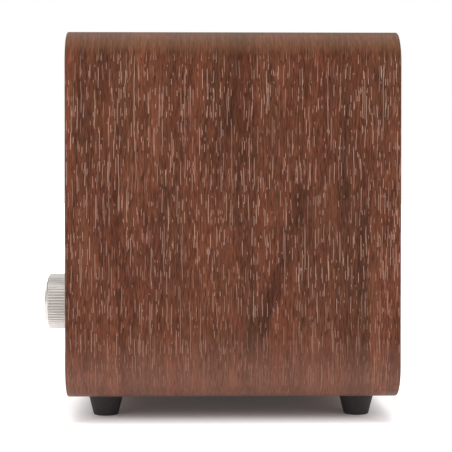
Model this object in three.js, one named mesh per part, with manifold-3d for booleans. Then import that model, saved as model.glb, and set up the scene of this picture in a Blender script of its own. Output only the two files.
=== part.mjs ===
// A tabletop radio: a walnut-wrapped sleeve closed by a front baffle and a rear panel, with one speaker,
// a display, push buttons, one turn-and-push knob, a telescopic aerial and rubber feet.
// Millimetres, +Z up, the front faces -Y. Inside the group, y = 0 is the front edge of the sleeve and z = 0
// is the table; the group is then moved so that the origin is the bottom centre of the whole radio.
import * as THREE from "three";
import { mergeVertices } from "three/addons/utils/BufferGeometryUtils.js";
import Module from "manifold-3d";

const wasm = await Module();
wasm.setup();

// Driving dimensions
const GAP = 0.3; // between two pieces that touch
const RUNNING = 0.1; // between a shaft and its bore
const SLEEVE = { width: 290, depth: 149, height: 165, radius: 15, wall: 10, edge: 0.7 };
const FOOT = {
  height: 10.2, top: 8.2, bottom: 5.65, edge: 0.8, insetX: 27, insetY: 16.4, plug: 2.6, plugLength: 5.7,
};
const BAFFLE = { front: 4, back: 9, radius: 4.6 };
const PANEL = { front: 141, back: 146 };
const TRIM = { front: 1.4, back: 3.7, height: 137, side: 4, between: 2.5, radius: 4 };
const GRILLE = { width: 181, rim: 4, clothFront: 1.9, clothBack: 2.7 };
const DISPLAY = { width: 60, height: 44, below: 30, lip: 1, lens: 1.6, radius: 1.5 };
const BUTTONS = {
  names: ["power", "source", "menu", "previous", "next"],
  pitch: 13,
  width: 10,
  height: 5,
  front: 0.6,
};
const BUTTON_ROW = { z: 97, flangeFront: 9.4, flangeBack: 10.2, stemEnd: 10.9, stem: 1.5, clearance: 0.3 };
const BOARD = {
  thickness: 1.6, front: 17.3, width: 72, bottom: 38, top: 104, switchSize: 6, switchFront: 11.6,
};
const KNOB = {
  radius: 13.3, front: -14, back: 0.7, z: 49.9, flutes: 60, fluteDepth: 0.55, chamfer: 2.1, face: 9.5,
};
const KNOB_INSIDE = { shoulder: 0.5, seat: 1, discEdge: 0.25, skirt: 8.5, skirtDepth: 1.5, boreFront: 5 };
const ENCODER = { shaft: 3, shaftFront: 5.4, bush: 3.5, bushFront: 1.2, size: 12.5, front: 10.3, back: 17 };
const ENCODER_NUT = { radius: 6, height: 1.8 };
const PLUNGER = { pocket: 4, pocketDepth: 1.8, front: 1.3, back: 0.6, shaftEnd: 1.6 };
const SPEAKER = { flange: 57, flangeThickness: 1.2, hole: 47, screwCircle: 53.1, screwHole: 1.8 };
const BASKET = {
  mouth: 46.6, shoulder: 49.5, waist: 28, waistY: 32.8, ring: 27, ringHole: 17, ringBack: 34.3, wall: 1.2,
};
const CONE = { outer: 36, neck: 13.2, front: 9.9, back: 25.8, thickness: 1 };
const SURROUND = { roll: 41.2, radius: 4.6, thickness: 0.8, rim: 46.3, overlap: 0.4, front: 0.6 };
const DUST_CAP = { radius: 12.2, back: 25.6, rise: 4, thickness: 0.6, taper: 0.95 };
const COIL = { outer: 12.9, inner: 12.4, front: 26.5, back: 42 };
const SPIDER = { inner: 13.5, pitch: 3.9, front: 28.6, wave: 1, thickness: 0.6 };
const TOP_PLATE = { outer: 29, inner: 14.2, front: 34.6, back: 37.4 };
const MAGNET = { outer: 31, inner: 15, front: 37.7, back: 51.6 };
const YOKE = { pole: 12, poleFront: 35, outer: 29, front: 51.9, back: 55 };
const SPEAKER_SCREW = { shank: 1.5, length: 3.5, head: 3.2, crown: 2.4, headHeight: 2 };
const PORT = { x: -95, z: 54, inner: 17, outer: 19, flange: 24, front: 84 };
const BATTEN = { size: 12, bottom: 26, top: 159 };
const REAR_SCREW = { z: [36, 148], head: 3.2, shank: 1.5, length: 15, headHeight: 2 };
const MAIN_BOARD = { left: -25, right: 121, bottom: 26, top: 88, front: 126.7 };
const BOARD_POST = { radius: 3, fromLeft: 6, fromRight: 5, fromEnds: 6 };
const CAPACITOR = { x: 108, z: [56, 74], radius: 5, length: 15 };
const TUNER_CAN = { left: 60, right: 92, bottom: 62, top: 84, depth: 4.5 };
const HEAT_SINK = { width: 40, bottom: 34, top: 80, plate: 3, fins: 6, pitch: 7.6, finWidth: 2, depth: 15 };
const JACKS = { z: 44, dc: 104, aux: 76, headphone: 50, back: 146.6, halfBody: 5.5 };
const DC_SOCKET = { nose: 5, bore: 3.2, depth: 9, pin: 1 };
const AUDIO_SOCKET = { nose: 4, bore: 1.8, depth: 14 };
const ROCKER = {
  x: 105, z: 118, width: 15, height: 21, pivotY: 143, swing: 8, throat: 10.4, throatHeight: 16.4,
};
const ROCKER_BOX = {
  lip: 1.2, front: 133, floor: 135, flange: 2, axle: 1, axleHole: 1.2, holeReach: 8, slit: 0.9,
};
const PADDLE = { heel: -3, heelHeight: 5, toe: 4, toeHeight: 7, crest: 5.6 };
const AERIAL = {
  x: -112, z: 152, y: 155.5, length: 165, ear: 4.5, earHeight: 4.2, slot: 2.2, knuckle: 2.8, pin: 1,
};
const AERIAL_BUSH = {
  shank: 3, rivet: 4.5, rivetHeight: 1.2, head: 6.5, back: 3.8, disc: 5.5, discHeight: 2.2,
};
const AERIAL_TIP = { length: 7.7, socket: 4, radius: 3.5, mouth: 2.8, end: 2.6 };
const AERIAL_TUBES = [
  { outer: 3.5, inner: 2.95 },
  { outer: 2.85, inner: 2.35 },
  { outer: 2.25, inner: 1.75 },
  { outer: 1.65, inner: 0 },
];

// Values worked out from them
const CENTRE_Z = FOOT.height + SLEEVE.height / 2;
const INNER_X = SLEEVE.width / 2 - SLEEVE.wall;
const INNER_WIDTH = SLEEVE.width - 2 * SLEEVE.wall - 2 * GAP;
const INNER_HEIGHT = SLEEVE.height - 2 * SLEEVE.wall - 2 * GAP;
const GRILLE_X = -INNER_X + TRIM.side + GRILLE.width / 2;
const FASCIA_WIDTH = 2 * (INNER_X - TRIM.side) - GRILLE.width - TRIM.between;
const FASCIA_X = INNER_X - TRIM.side - FASCIA_WIDTH / 2;
const DISPLAY_Z = CENTRE_Z + TRIM.height / 2 - DISPLAY.below;
const AERIAL_BACK = AERIAL.y + AERIAL.ear;
const REAR_SCREW_X = INNER_X - GAP - BATTEN.size / 2;

function finish(color, roughness, metalness = 0) {
  return new THREE.MeshStandardMaterial({ color, roughness, metalness });
}

const WALNUT = finish(0x6f4839, 0.55);
const PINE = finish(0xb08d62, 0.8);
const BLACK_PLASTIC = finish(0x1c1b1b, 0.6);
const BLACK_GLOSS = finish(0x0d0d0e, 0.2);
const GRILLE_FABRIC = finish(0x2b2a2b, 0.95);
const CLEAR_ACRYLIC = finish(0x20252a, 0.08);
const SATIN_METAL = finish(0xc5beba, 0.35, 1);
const BRIGHT_METAL = finish(0xd8d8da, 0.15, 1);
const STEEL = finish(0x8d9094, 0.4, 1);
const RUBBER = finish(0x2a2827, 0.85);
const CIRCUIT_BOARD = finish(0x1f5a38, 0.5);
const PAPER = finish(0x26231f, 0.9);
const FERRITE = finish(0x3a3a3c, 0.7);
const COPPER = finish(0xb87040, 0.35, 1);

const radio = new THREE.Group();

function piece(name, material, geometry) {
  const mesh = new THREE.Mesh(geometry, material);
  mesh.name = name;
  radio.add(mesh);
}

// Solids and their joins and cuts
function solidOf(geometry) {
  const bare = geometry.clone();
  bare.deleteAttribute("normal");
  bare.deleteAttribute("uv");
  const merged = mergeVertices(bare, 1e-4);
  const vertProperties = merged.getAttribute("position").array;
  const triVerts = new Uint32Array(merged.getIndex().array);
  return new wasm.Manifold(new wasm.Mesh({ numProp: 3, vertProperties, triVerts }));
}

function geometryOf(solid) {
  const { vertProperties, triVerts } = solid.getMesh();
  const geometry = new THREE.BufferGeometry();
  geometry.setAttribute("position", new THREE.BufferAttribute(vertProperties, 3));
  geometry.setIndex(new THREE.BufferAttribute(triVerts, 1));
  geometry.computeVertexNormals();
  return geometry;
}

function combined(operation, first, others) {
  const solid = others.reduce((made, other) => made[operation](solidOf(other)), solidOf(first));
  return geometryOf(solid);
}

const cut = (body, ...tools) => combined("subtract", body, tools);
const joined = (body, ...others) => combined("add", body, others);
const common = (body, ...others) => combined("intersect", body, others);

// A closed rounded rectangle centred on (x, z), drawn into a shape or into a hole's path
function roundedRect(width, height, radius, x = 0, z = 0, path = new THREE.Shape()) {
  const dx = width / 2 - radius;
  const dz = height / 2 - radius;
  path.absarc(x + dx, z + dz, radius, 0, Math.PI / 2);
  path.absarc(x - dx, z + dz, radius, Math.PI / 2, Math.PI);
  path.absarc(x - dx, z - dz, radius, Math.PI, 1.5 * Math.PI);
  path.absarc(x + dx, z - dz, radius, 1.5 * Math.PI, 2 * Math.PI);
  path.closePath();
  return path;
}

const rectHole = (width, height, radius, x, z) => roundedRect(width, height, radius, x, z, new THREE.Path());

// A round hole is a rounded square whose corners are the whole of it, so that each quarter is a fine arc
const roundHole = (radius, x, z) => rectHole(2 * radius, 2 * radius, radius, x, z);

// A shape drawn in X and Z, made solid from y = front to y = back
function plate(shape, front, back, curveSegments = 3) {
  const options = { depth: back - front, bevelEnabled: false, curveSegments };
  return new THREE.ExtrudeGeometry(shape, options).rotateX(Math.PI / 2).translate(0, back, 0);
}

// A block given by its lowest and highest corners
function block([x0, y0, z0], [x1, y1, z1]) {
  const box = new THREE.BoxGeometry(x1 - x0, y1 - y0, z1 - z0);
  return box.translate((x0 + x1) / 2, (y0 + y1) / 2, (z0 + z1) / 2);
}

// A profile of [radius, distance along the axis] turned about a line through (x, y, z) along the named axis
function turned(profile, { axis = "y", x = 0, y = 0, z = 0, segments = 16 } = {}) {
  const points = profile.map(([radius, along]) => new THREE.Vector2(radius, along));
  const lathe = new THREE.LatheGeometry(points, segments);
  if (axis === "x") lathe.rotateZ(-Math.PI / 2);
  if (axis === "z") lathe.rotateX(Math.PI / 2);
  return lathe.translate(x, y, z);
}

const rod = (radius, from, to, place) => turned([[0, from], [radius, from], [radius, to], [0, to]], place);

function tube(outer, inner, from, to, place) {
  return turned([[inner, from], [outer, from], [outer, to], [inner, to], [inner, from]], place);
}

// The cabinet: a hollow sleeve with round long edges, softened front and back edges and four foot sockets
const footPlaces = [
  ["front_left", -1, FOOT.insetY],
  ["front_right", 1, FOOT.insetY],
  ["rear_left", -1, SLEEVE.depth - FOOT.insetY],
  ["rear_right", 1, SLEEVE.depth - FOOT.insetY],
].map(([name, side, y]) => ({ name, x: side * (SLEEVE.width / 2 - FOOT.insetX), y }));

function makeSleeve() {
  const outline = roundedRect(SLEEVE.width, SLEEVE.height, SLEEVE.radius, 0, CENTRE_Z);
  const inside = [SLEEVE.width - 2 * SLEEVE.wall, SLEEVE.height - 2 * SLEEVE.wall];
  outline.holes.push(rectHole(...inside, SLEEVE.radius - SLEEVE.wall, 0, CENTRE_Z));
  const { depth: length, edge } = SLEEVE;
  const bevel = { bevelThickness: edge, bevelSize: edge, bevelOffset: -edge, bevelSegments: 1 };
  const options = { depth: length - 2 * edge, curveSegments: 6, ...bevel };
  const shell = new THREE.ExtrudeGeometry(outline, options).rotateX(Math.PI / 2);
  shell.translate(0, length - edge, 0);
  const top = FOOT.height + FOOT.plugLength + GAP;
  const place = { axis: "z", segments: 10 };
  const sockets = footPlaces.map(({ x, y }) => rod(FOOT.plug + GAP, 0, top, { ...place, x, y }));
  piece("cabinet_sleeve", WALNUT, cut(shell, ...sockets));
}

function makeBattens() {
  const y = [PANEL.front - GAP - BATTEN.size, PANEL.front - GAP];
  for (const [name, side] of [["left", -1], ["right", 1]]) {
    const xs = [INNER_X - GAP - BATTEN.size, INNER_X - GAP].map((x) => side * x).sort((a, b) => a - b);
    const bar = block([xs[0], y[0], BATTEN.bottom], [xs[1], y[1], BATTEN.top]);
    const place = { x: side * REAR_SCREW_X, segments: 10 };
    const holes = REAR_SCREW.z.map((z) => rod(REAR_SCREW.shank + GAP, y[0] - 1, y[1] + 1, { ...place, z }));
    piece(`rear_batten_${name}`, PINE, cut(bar, ...holes));
  }
}

function makeFeet() {
  const { height, top, bottom, edge, plug, plugLength } = FOOT;
  const profile = [
    [0, 0],
    [bottom - edge, 0],
    [bottom - edge * 0.3, edge * 0.3],
    [bottom, edge],
    [top, height - GAP],
    [plug, height - GAP],
    [plug, height + plugLength],
    [0, height + plugLength],
  ];
  for (const { name, x, y } of footPlaces) {
    piece(`${name}_foot`, RUBBER, turned(profile, { axis: "z", x, y }));
  }
}

// The front: baffle, grille frame, cloth and control fascia
const buttonPlaces = BUTTONS.names.map((name, i) => {
  const x = FASCIA_X + (i - (BUTTONS.names.length - 1) / 2) * BUTTONS.pitch;
  return { name, x, z: BUTTON_ROW.z };
});

const speakerScrews = [0, 1, 2, 3].map((i) => {
  const angle = Math.PI / 4 + (i * Math.PI) / 2;
  const radius = SPEAKER.screwCircle;
  return { x: GRILLE_X + radius * Math.cos(angle), z: CENTRE_Z + radius * Math.sin(angle) };
});

function buttonHoles() {
  const [width, height] = [BUTTONS.width, BUTTONS.height].map((size) => size + 2 * BUTTON_ROW.clearance);
  return buttonPlaces.map(({ x, z }) => rectHole(width, height, height / 2 - 0.01, x, z));
}

function makeBaffle() {
  const outline = roundedRect(INNER_WIDTH, INNER_HEIGHT, BAFFLE.radius, 0, CENTRE_Z);
  const display = [DISPLAY.width - 2 * DISPLAY.lip, DISPLAY.height - 2 * DISPLAY.lip];
  outline.holes.push(rectHole(...display, DISPLAY.radius, FASCIA_X, DISPLAY_Z));
  outline.holes.push(roundHole(ENCODER.bush + GAP, FASCIA_X, KNOB.z));
  outline.holes.push(...buttonHoles());
  const place = { x: GRILLE_X, z: CENTRE_Z, segments: 32 };
  const mouth = rod(SPEAKER.hole, BAFFLE.front - 1, BAFFLE.back + 1, place);
  const deep = BAFFLE.back - SPEAKER_SCREW.length - 0.5;
  const ahead = BAFFLE.back + 1;
  const holes = speakerScrews.map((at) => rod(SPEAKER.screwHole, deep, ahead, { ...at, segments: 10 }));
  piece("front_baffle", BLACK_PLASTIC, cut(plate(outline, BAFFLE.front, BAFFLE.back), mouth, ...holes));
}

function makeGrille() {
  const outline = roundedRect(GRILLE.width, TRIM.height, TRIM.radius, GRILLE_X, CENTRE_Z);
  const inside = [GRILLE.width - 2 * GRILLE.rim, TRIM.height - 2 * GRILLE.rim];
  outline.holes.push(rectHole(...inside, TRIM.radius / 2, GRILLE_X, CENTRE_Z));
  piece("grille_frame", BLACK_PLASTIC, plate(outline, TRIM.front, TRIM.back));
  const [width, height] = inside.map((size) => size - 2 * GAP);
  const cloth = roundedRect(width, height, TRIM.radius / 2 - GAP, GRILLE_X, CENTRE_Z);
  piece("grille_cloth", GRILLE_FABRIC, plate(cloth, GRILLE.clothFront, GRILLE.clothBack));
}

function makeFascia() {
  const outline = roundedRect(FASCIA_WIDTH, TRIM.height, TRIM.radius, FASCIA_X, CENTRE_Z);
  outline.holes.push(rectHole(DISPLAY.width, DISPLAY.height, DISPLAY.radius, FASCIA_X, DISPLAY_Z));
  outline.holes.push(roundHole(ENCODER.size / 2 + 1, FASCIA_X, KNOB.z));
  outline.holes.push(...buttonHoles());
  piece("control_fascia", BLACK_PLASTIC, plate(outline, TRIM.front, TRIM.back));
}

function makeDisplay() {
  const [width, height] = [DISPLAY.width - 2 * GAP, DISPLAY.height - 2 * GAP];
  const lens = roundedRect(width, height, DISPLAY.radius - GAP, FASCIA_X, DISPLAY_Z);
  piece("display_window", CLEAR_ACRYLIC, plate(lens, TRIM.back - GAP - DISPLAY.lens, TRIM.back - GAP));
  const inset = 2 * (DISPLAY.lip + GAP);
  const glass = plate(
    roundedRect(DISPLAY.width - inset, DISPLAY.height - inset, 1, FASCIA_X, DISPLAY_Z),
    BAFFLE.front + GAP,
    BAFFLE.back + GAP + 1,
  );
  const holder = plate(
    roundedRect(DISPLAY.width + 6, DISPLAY.height + 6, 2, FASCIA_X, DISPLAY_Z),
    BAFFLE.back + GAP,
    BAFFLE.back + GAP + 6,
  );
  piece("display_module", BLACK_GLOSS, joined(holder, glass));
}

// Each button: a rounded cap, a flange that stops it coming out, and a stem that reaches its switch
function makeButtons() {
  const { flangeFront, flangeBack, stemEnd, stem } = BUTTON_ROW;
  for (const { name, x, z } of buttonPlaces) {
    const cap = roundedRect(BUTTONS.width, BUTTONS.height, BUTTONS.height / 2 - 0.01, x, z);
    const flange = roundedRect(BUTTONS.width + 2, BUTTONS.height + 2.5, 2, x, z);
    const body = plate(cap, BUTTONS.front, flangeFront + 0.2);
    const post = rod(stem, flangeBack - 0.2, stemEnd, { x, z, segments: 8 });
    piece(`${name}_button`, SATIN_METAL, joined(body, plate(flange, flangeFront, flangeBack, 2), post));
  }
}

// The board behind the controls carries a switch for each button, and the encoder
function makeControlBoard() {
  const half = BOARD.width / 2;
  const back = BOARD.front + BOARD.thickness;
  const board = block([FASCIA_X - half, BOARD.front, BOARD.bottom], [FASCIA_X + half, back, BOARD.top]);
  const size = BOARD.switchSize / 2;
  const switches = buttonPlaces.map(({ x, z }) =>
    block([x - size, BOARD.switchFront, z - size], [x + size, BOARD.front + 0.5, z + size]),
  );
  piece("control_board", CIRCUIT_BOARD, joined(board, ...switches));
}

// The encoder: a body with a threaded bush, a nut, the plunger of its push switch, and its shaft
const knobPlace = { x: FASCIA_X, z: KNOB.z };

function makeEncoder() {
  const { shaft, shaftFront, bush, bushFront, size, front, back } = ENCODER;
  const { pocket, pocketDepth } = PLUNGER;
  const half = size / 2;
  const box = block([FASCIA_X - half, front, KNOB.z - half], [FASCIA_X + half, back, KNOB.z + half]);
  const neck = rod(bush, bushFront, front + 1, knobPlace);
  const bore = rod(shaft + RUNNING, bushFront - 1, back + 1, { ...knobPlace, segments: 32 });
  const recess = rod(pocket, back - pocketDepth, back + 1, knobPlace);
  piece("encoder_body", STEEL, cut(joined(box, neck), bore, recess));
  const nutFront = TRIM.back - ENCODER_NUT.height;
  const hexagon = rod(ENCODER_NUT.radius, nutFront, TRIM.back, { ...knobPlace, segments: 6 });
  piece("encoder_nut", STEEL, cut(hexagon, rod(bush + GAP, 0, TRIM.back + 1, knobPlace)));
  const disc = rod(pocket - GAP, back - PLUNGER.front, back - PLUNGER.back, knobPlace);
  piece("encoder_plunger", BLACK_PLASTIC, disc);
  const pin = rod(shaft, KNOB.front + shaftFront, back - PLUNGER.shaftEnd, { ...knobPlace, segments: 32 });
  piece("encoder_shaft", STEEL, cut(pin, shaftFlat(0)));
}

// What the D-shaped front of the shaft lacks, moved in by inset where it trims the knob's bore
function shaftFlat(inset) {
  const edge = KNOB.z + ENCODER.shaft / 2 + inset;
  return block([FASCIA_X - 5, KNOB.front - 2, edge], [FASCIA_X + 5, -1 - inset, edge + 5]);
}

// The knob: straight flutes all round, a broad front chamfer that cuts through them, and a flat face disc
function makeKnob() {
  const { radius, front, back, flutes, fluteDepth, chamfer, face } = KNOB;
  const { seat, discEdge, skirt, skirtDepth, boreFront } = KNOB_INSIDE;
  const shoulder = front + KNOB_INSIDE.shoulder;
  const outline = new THREE.Shape();
  for (let i = 0; i < 2 * flutes; i++) {
    const angle = (i * Math.PI) / flutes;
    const r = i % 2 ? radius - fluteDepth : radius;
    const [x, z] = [FASCIA_X + r * Math.cos(angle), KNOB.z + r * Math.sin(angle)];
    if (i) outline.lineTo(x, z);
    else outline.moveTo(x, z);
  }
  outline.closePath();
  const wide = radius + 0.5;
  const rimY = shoulder + chamfer + GAP;
  const envelope = [[0, shoulder], [face + GAP, shoulder], [wide, rimY], [wide, back], [0, back]];
  const turnedBody = turned(envelope, { ...knobPlace, segments: 40 });
  const fluted = common(plate(outline, shoulder - 1, back), turnedBody);
  const faceSeat = rod(face, shoulder - 1, shoulder + seat, { ...knobPlace, segments: 30 });
  const backRecess = rod(skirt, back - skirtDepth, back + 1, knobPlace);
  const roundBore = rod(ENCODER.shaft + RUNNING, front + boreFront, back, { ...knobPlace, segments: 32 });
  piece("knob_body", SATIN_METAL, cut(fluted, faceSeat, backRecess, cut(roundBore, shaftFlat(RUNNING))));
  const rim = face - GAP;
  const discBack = shoulder + seat - GAP;
  const disc = [[0, front], [rim - discEdge, front], [rim, front + discEdge], [rim, discBack], [0, discBack]];
  piece("knob_face", SATIN_METAL, turned(disc, { ...knobPlace, segments: 30 }));
}

// The speaker, front to back: surround, cone, dust cap, voice coil, spider, basket, top plate, magnet, yoke
const speakerPlace = { x: GRILLE_X, z: CENTRE_Z, segments: 20 };
const speakerFront = BAFFLE.back + GAP;

function makeSpeakerFrame() {
  const y = speakerFront;
  const { mouth, shoulder, waist, waistY, ring, ringHole, ringBack, wall } = BASKET;
  const basket = [
    [mouth, y],
    [SPEAKER.flange, y],
    [SPEAKER.flange, y + SPEAKER.flangeThickness],
    [shoulder, y + SPEAKER.flangeThickness],
    [waist, waistY],
    [ring, ringBack],
    [ringHole, ringBack],
    [ringHole, ringBack - wall],
    [ring - wall, ringBack - wall],
    [mouth, y + 1.7],
    [mouth, y],
  ];
  const holes = speakerScrews.map((at) => rod(SPEAKER.screwHole, y - 1, y + 3, { ...at, segments: 10 }));
  piece("speaker_basket", STEEL, cut(turned(basket, speakerPlace), ...holes));
  piece("speaker_top_plate", STEEL, tubeOf(TOP_PLATE));
  piece("speaker_magnet", FERRITE, tubeOf(MAGNET));
  const { pole, poleFront, outer, front, back } = YOKE;
  const yoke = [[0, poleFront], [pole, poleFront], [pole, front], [outer, front], [outer, back], [0, back]];
  piece("speaker_yoke", STEEL, turned(yoke, speakerPlace));

  const { shank, length, head, crown, headHeight } = SPEAKER_SCREW;
  const tip = BAFFLE.back - length;
  const seat = y + SPEAKER.flangeThickness + GAP;
  const top = seat + headHeight;
  const profile = [[0, tip], [shank, tip], [shank, seat], [head, seat], [crown, top], [0, top]];
  speakerScrews.forEach((at, i) => {
    piece(`speaker_screw_${i + 1}`, STEEL, turned(profile, { ...at, segments: 12 }));
  });
}

const tubeOf = ({ outer, inner, front, back }) => tube(outer, inner, front, back, speakerPlace);

// A curved sheet of the given thickness, from a line of [radius, distance] points
const sheetOf = (line, thickness, taper = 1) => [
  ...line,
  ...line.map(([radius, along]) => [radius * taper, along + thickness]).reverse(),
];

function makeSpeakerMotion() {
  const { outer, neck, front, back, thickness } = CONE;
  const edge = speakerFront + SURROUND.front;
  const glued = edge + SURROUND.thickness;
  const hold = outer + SURROUND.overlap;
  const roll = (radius) =>
    [0, 1, 2, 3, 4].map((i) => {
      const angle = (i * Math.PI) / 4;
      return [SURROUND.roll + radius * Math.cos(angle), edge - radius * Math.sin(angle)];
    });
  const inside = roll(SURROUND.radius - SURROUND.thickness);
  const { rim } = SURROUND;
  const surround = [[hold, edge], ...roll(SURROUND.radius).reverse(), [rim, edge], [rim, glued]];
  surround.push([inside[0][0], glued], ...inside, [hold, glued], [hold, edge]);
  piece("speaker_surround", RUBBER, turned(surround, speakerPlace));

  const wall = [[neck, back], [outer, front]];
  piece("speaker_cone", PAPER, turned([...sheetOf(wall, thickness), wall[0]], speakerPlace));
  const dome = [0, 1, 2, 3].map((i) => {
    const angle = (i * Math.PI) / 6;
    return [DUST_CAP.radius * Math.sin(angle), DUST_CAP.back - DUST_CAP.rise * Math.cos(angle)];
  });
  piece("speaker_dust_cap", PAPER, turned(sheetOf(dome, DUST_CAP.thickness, DUST_CAP.taper), speakerPlace));
  piece("speaker_voice_coil", COPPER, tubeOf(COIL));

  const { inner, pitch, wave } = SPIDER;
  const waves = [0, 1, 2, 3, 4].map((i) => [inner + i * pitch, SPIDER.front + (i % 2) * wave]);
  piece("speaker_spider", PAPER, turned([...sheetOf(waves, SPIDER.thickness), waves[0]], speakerPlace));
}

// The electronics on the rear panel
function makeMainBoard() {
  const { left, right, bottom, top, front } = MAIN_BOARD;
  const board = block([left, front, bottom], [right, front + BOARD.thickness, top]);
  const { x: canX, radius, length } = CAPACITOR;
  const place = { x: canX, segments: 16 };
  const cans = CAPACITOR.z.map((z) => rod(radius, front - length, front + 0.5, { ...place, z }));
  piece("main_board", CIRCUIT_BOARD, joined(board, ...cans));
  const back = front - GAP;
  const can = TUNER_CAN;
  piece("tuner_can", STEEL, block([can.left, back - can.depth, can.bottom], [can.right, back, can.top]));
  const sink = HEAT_SINK;
  const fins = Array.from({ length: sink.fins }, (_, i) => {
    const x = i * sink.pitch;
    return block([x, back - sink.depth, sink.bottom], [x + sink.finWidth, back - sink.plate + 0.5, sink.top]);
  });
  const base = block([0, back - sink.plate, sink.bottom], [sink.width, back, sink.top]);
  piece("heat_sink", SATIN_METAL, joined(base, ...fins));
}

// A socket: a body on the board, a round nose through the panel, and a bore that opens to the rear
function socket(x, { nose, bore, depth }) {
  const { z, back, halfBody } = JACKS;
  const front = MAIN_BOARD.front + BOARD.thickness + GAP;
  const body = block([x - halfBody, front, z - halfBody], [x + halfBody, PANEL.front - GAP, z + halfBody]);
  const barrel = rod(nose, PANEL.front - 1, back, { x, z });
  return cut(joined(body, barrel), rod(bore, back - depth, back + 1, { x, z }));
}

function makeJacks() {
  const { z, back } = JACKS;
  const pin = rod(DC_SOCKET.pin, back - DC_SOCKET.depth - 1, back - 1, { x: JACKS.dc, z, segments: 12 });
  piece("dc_inlet", BLACK_PLASTIC, joined(socket(JACKS.dc, DC_SOCKET), pin));
  piece("aux_jack", BLACK_PLASTIC, socket(JACKS.aux, AUDIO_SOCKET));
  piece("headphone_jack", BLACK_PLASTIC, socket(JACKS.headphone, AUDIO_SOCKET));
}

function makeRocker() {
  const { x, z, width, height, pivotY, swing, throat, throatHeight } = ROCKER;
  const { lip, front, floor, flange, axle, axleHole, holeReach } = ROCKER_BOX;
  const back = PANEL.back + GAP + flange;
  const plateAround = plate(roundedRect(width, height, 1, x, z), PANEL.back + GAP, back, 3);
  const [halfX, halfZ] = [width / 2 - lip, height / 2 - lip];
  const box = block([x - halfX, front, z - halfZ], [x + halfX, PANEL.back + 1, z + halfZ]);
  const [openX, openZ] = [throat / 2, throatHeight / 2];
  const cavity = block([x - openX, floor, z - openZ], [x + openX, back + 2, z + openZ]);
  const hole = rod(axleHole, x - holeReach, x + holeReach, { axis: "x", y: pivotY, z, segments: 12 });
  piece("rocker_frame", BLACK_PLASTIC, cut(joined(plateAround, box), cavity, hole));
  const { heel, heelHeight, toe, toeHeight, crest } = PADDLE;
  const outline = [
    [heel, -heelHeight],
    [toe, -toeHeight],
    [crest, -toeHeight],
    [toe, 0],
    [crest, toeHeight],
    [toe, toeHeight],
    [heel, heelHeight],
  ];
  const side = new THREE.Shape(outline.map(([dy, dz]) => new THREE.Vector2(dy, dz)));
  const along = new THREE.Matrix4().makeBasis(
    new THREE.Vector3(0, 1, 0),
    new THREE.Vector3(0, 0, 1),
    new THREE.Vector3(1, 0, 0),
  );
  const options = { depth: throat - 2 * GAP, bevelEnabled: false };
  const paddle = new THREE.ExtrudeGeometry(side, options).applyMatrix4(along);
  paddle.translate(x - throat / 2 + GAP, 0, 0);
  const pin = rod(axle, x - halfX, x + halfX, { axis: "x", segments: 12 });
  const rocker = joined(paddle, pin).rotateX((-swing * Math.PI) / 180);
  piece("power_rocker", BLACK_PLASTIC, rocker.translate(0, pivotY, z));
}

// The rear panel with its board posts, and the screws that hold it to the battens
const rearScrews = [-1, 1].flatMap((side) => REAR_SCREW.z.map((z) => ({ x: side * REAR_SCREW_X, z })));

function makeRearPanel() {
  const outline = roundedRect(INNER_WIDTH, INNER_HEIGHT, BAFFLE.radius, 0, CENTRE_Z);
  outline.holes.push(roundHole(AUDIO_SOCKET.nose + GAP, JACKS.aux, JACKS.z));
  outline.holes.push(roundHole(AUDIO_SOCKET.nose + GAP, JACKS.headphone, JACKS.z));
  outline.holes.push(roundHole(DC_SOCKET.nose + GAP, JACKS.dc, JACKS.z));
  outline.holes.push(roundHole(AERIAL_BUSH.shank + GAP, AERIAL.x, AERIAL.z));
  const rocker = [ROCKER.width, ROCKER.height].map((size) => size - 2 * ROCKER_BOX.slit);
  outline.holes.push(rectHole(...rocker, 0.5, ROCKER.x, ROCKER.z));
  rearScrews.forEach(({ x, z }) => outline.holes.push(roundHole(REAR_SCREW.shank + GAP, x, z)));
  const place = { x: PORT.x, z: PORT.z, segments: 24 };
  const port = rod(PORT.outer + 0.4, PANEL.front - 1, PANEL.back + 1, place);
  const postFront = MAIN_BOARD.front + BOARD.thickness + GAP;
  const { left, right, bottom, top } = MAIN_BOARD;
  const { radius, fromLeft, fromRight, fromEnds } = BOARD_POST;
  const post = (x, z) => rod(radius, postFront, PANEL.front + 1, { x, z, segments: 8 });
  const posts = [left + fromLeft, right - fromRight].flatMap((x) =>
    [bottom + fromEnds, top - fromEnds].map((z) => post(x, z)),
  );
  piece("rear_panel", BLACK_PLASTIC, cut(joined(plate(outline, PANEL.front, PANEL.back), ...posts), port));

  rearScrews.forEach(({ x, z }, i) => {
    const { head, shank, length, headHeight } = REAR_SCREW;
    const seat = PANEL.back + GAP;
    const [tip, top] = [seat - length, seat + headHeight];
    const profile = [[0, tip], [shank, tip], [shank, seat], [head, seat], [head * 0.7, top], [0, top]];
    piece(`rear_screw_${i + 1}`, STEEL, turned(profile, { x, z, segments: 14 }));
  });
}

function makePort() {
  const { x, z, inner, outer, flange, front } = PORT;
  const seat = PANEL.back + GAP;
  const profile = [
    [inner, front],
    [outer, front],
    [outer, seat],
    [flange, seat],
    [flange, seat + 1.3],
    [flange - 0.7, seat + 2],
    [inner + 1.6, seat + 2],
    [inner, seat],
    [inner, front],
  ];
  piece("bass_port", BLACK_PLASTIC, turned(profile, { x, z, segments: 24 }));
}

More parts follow.
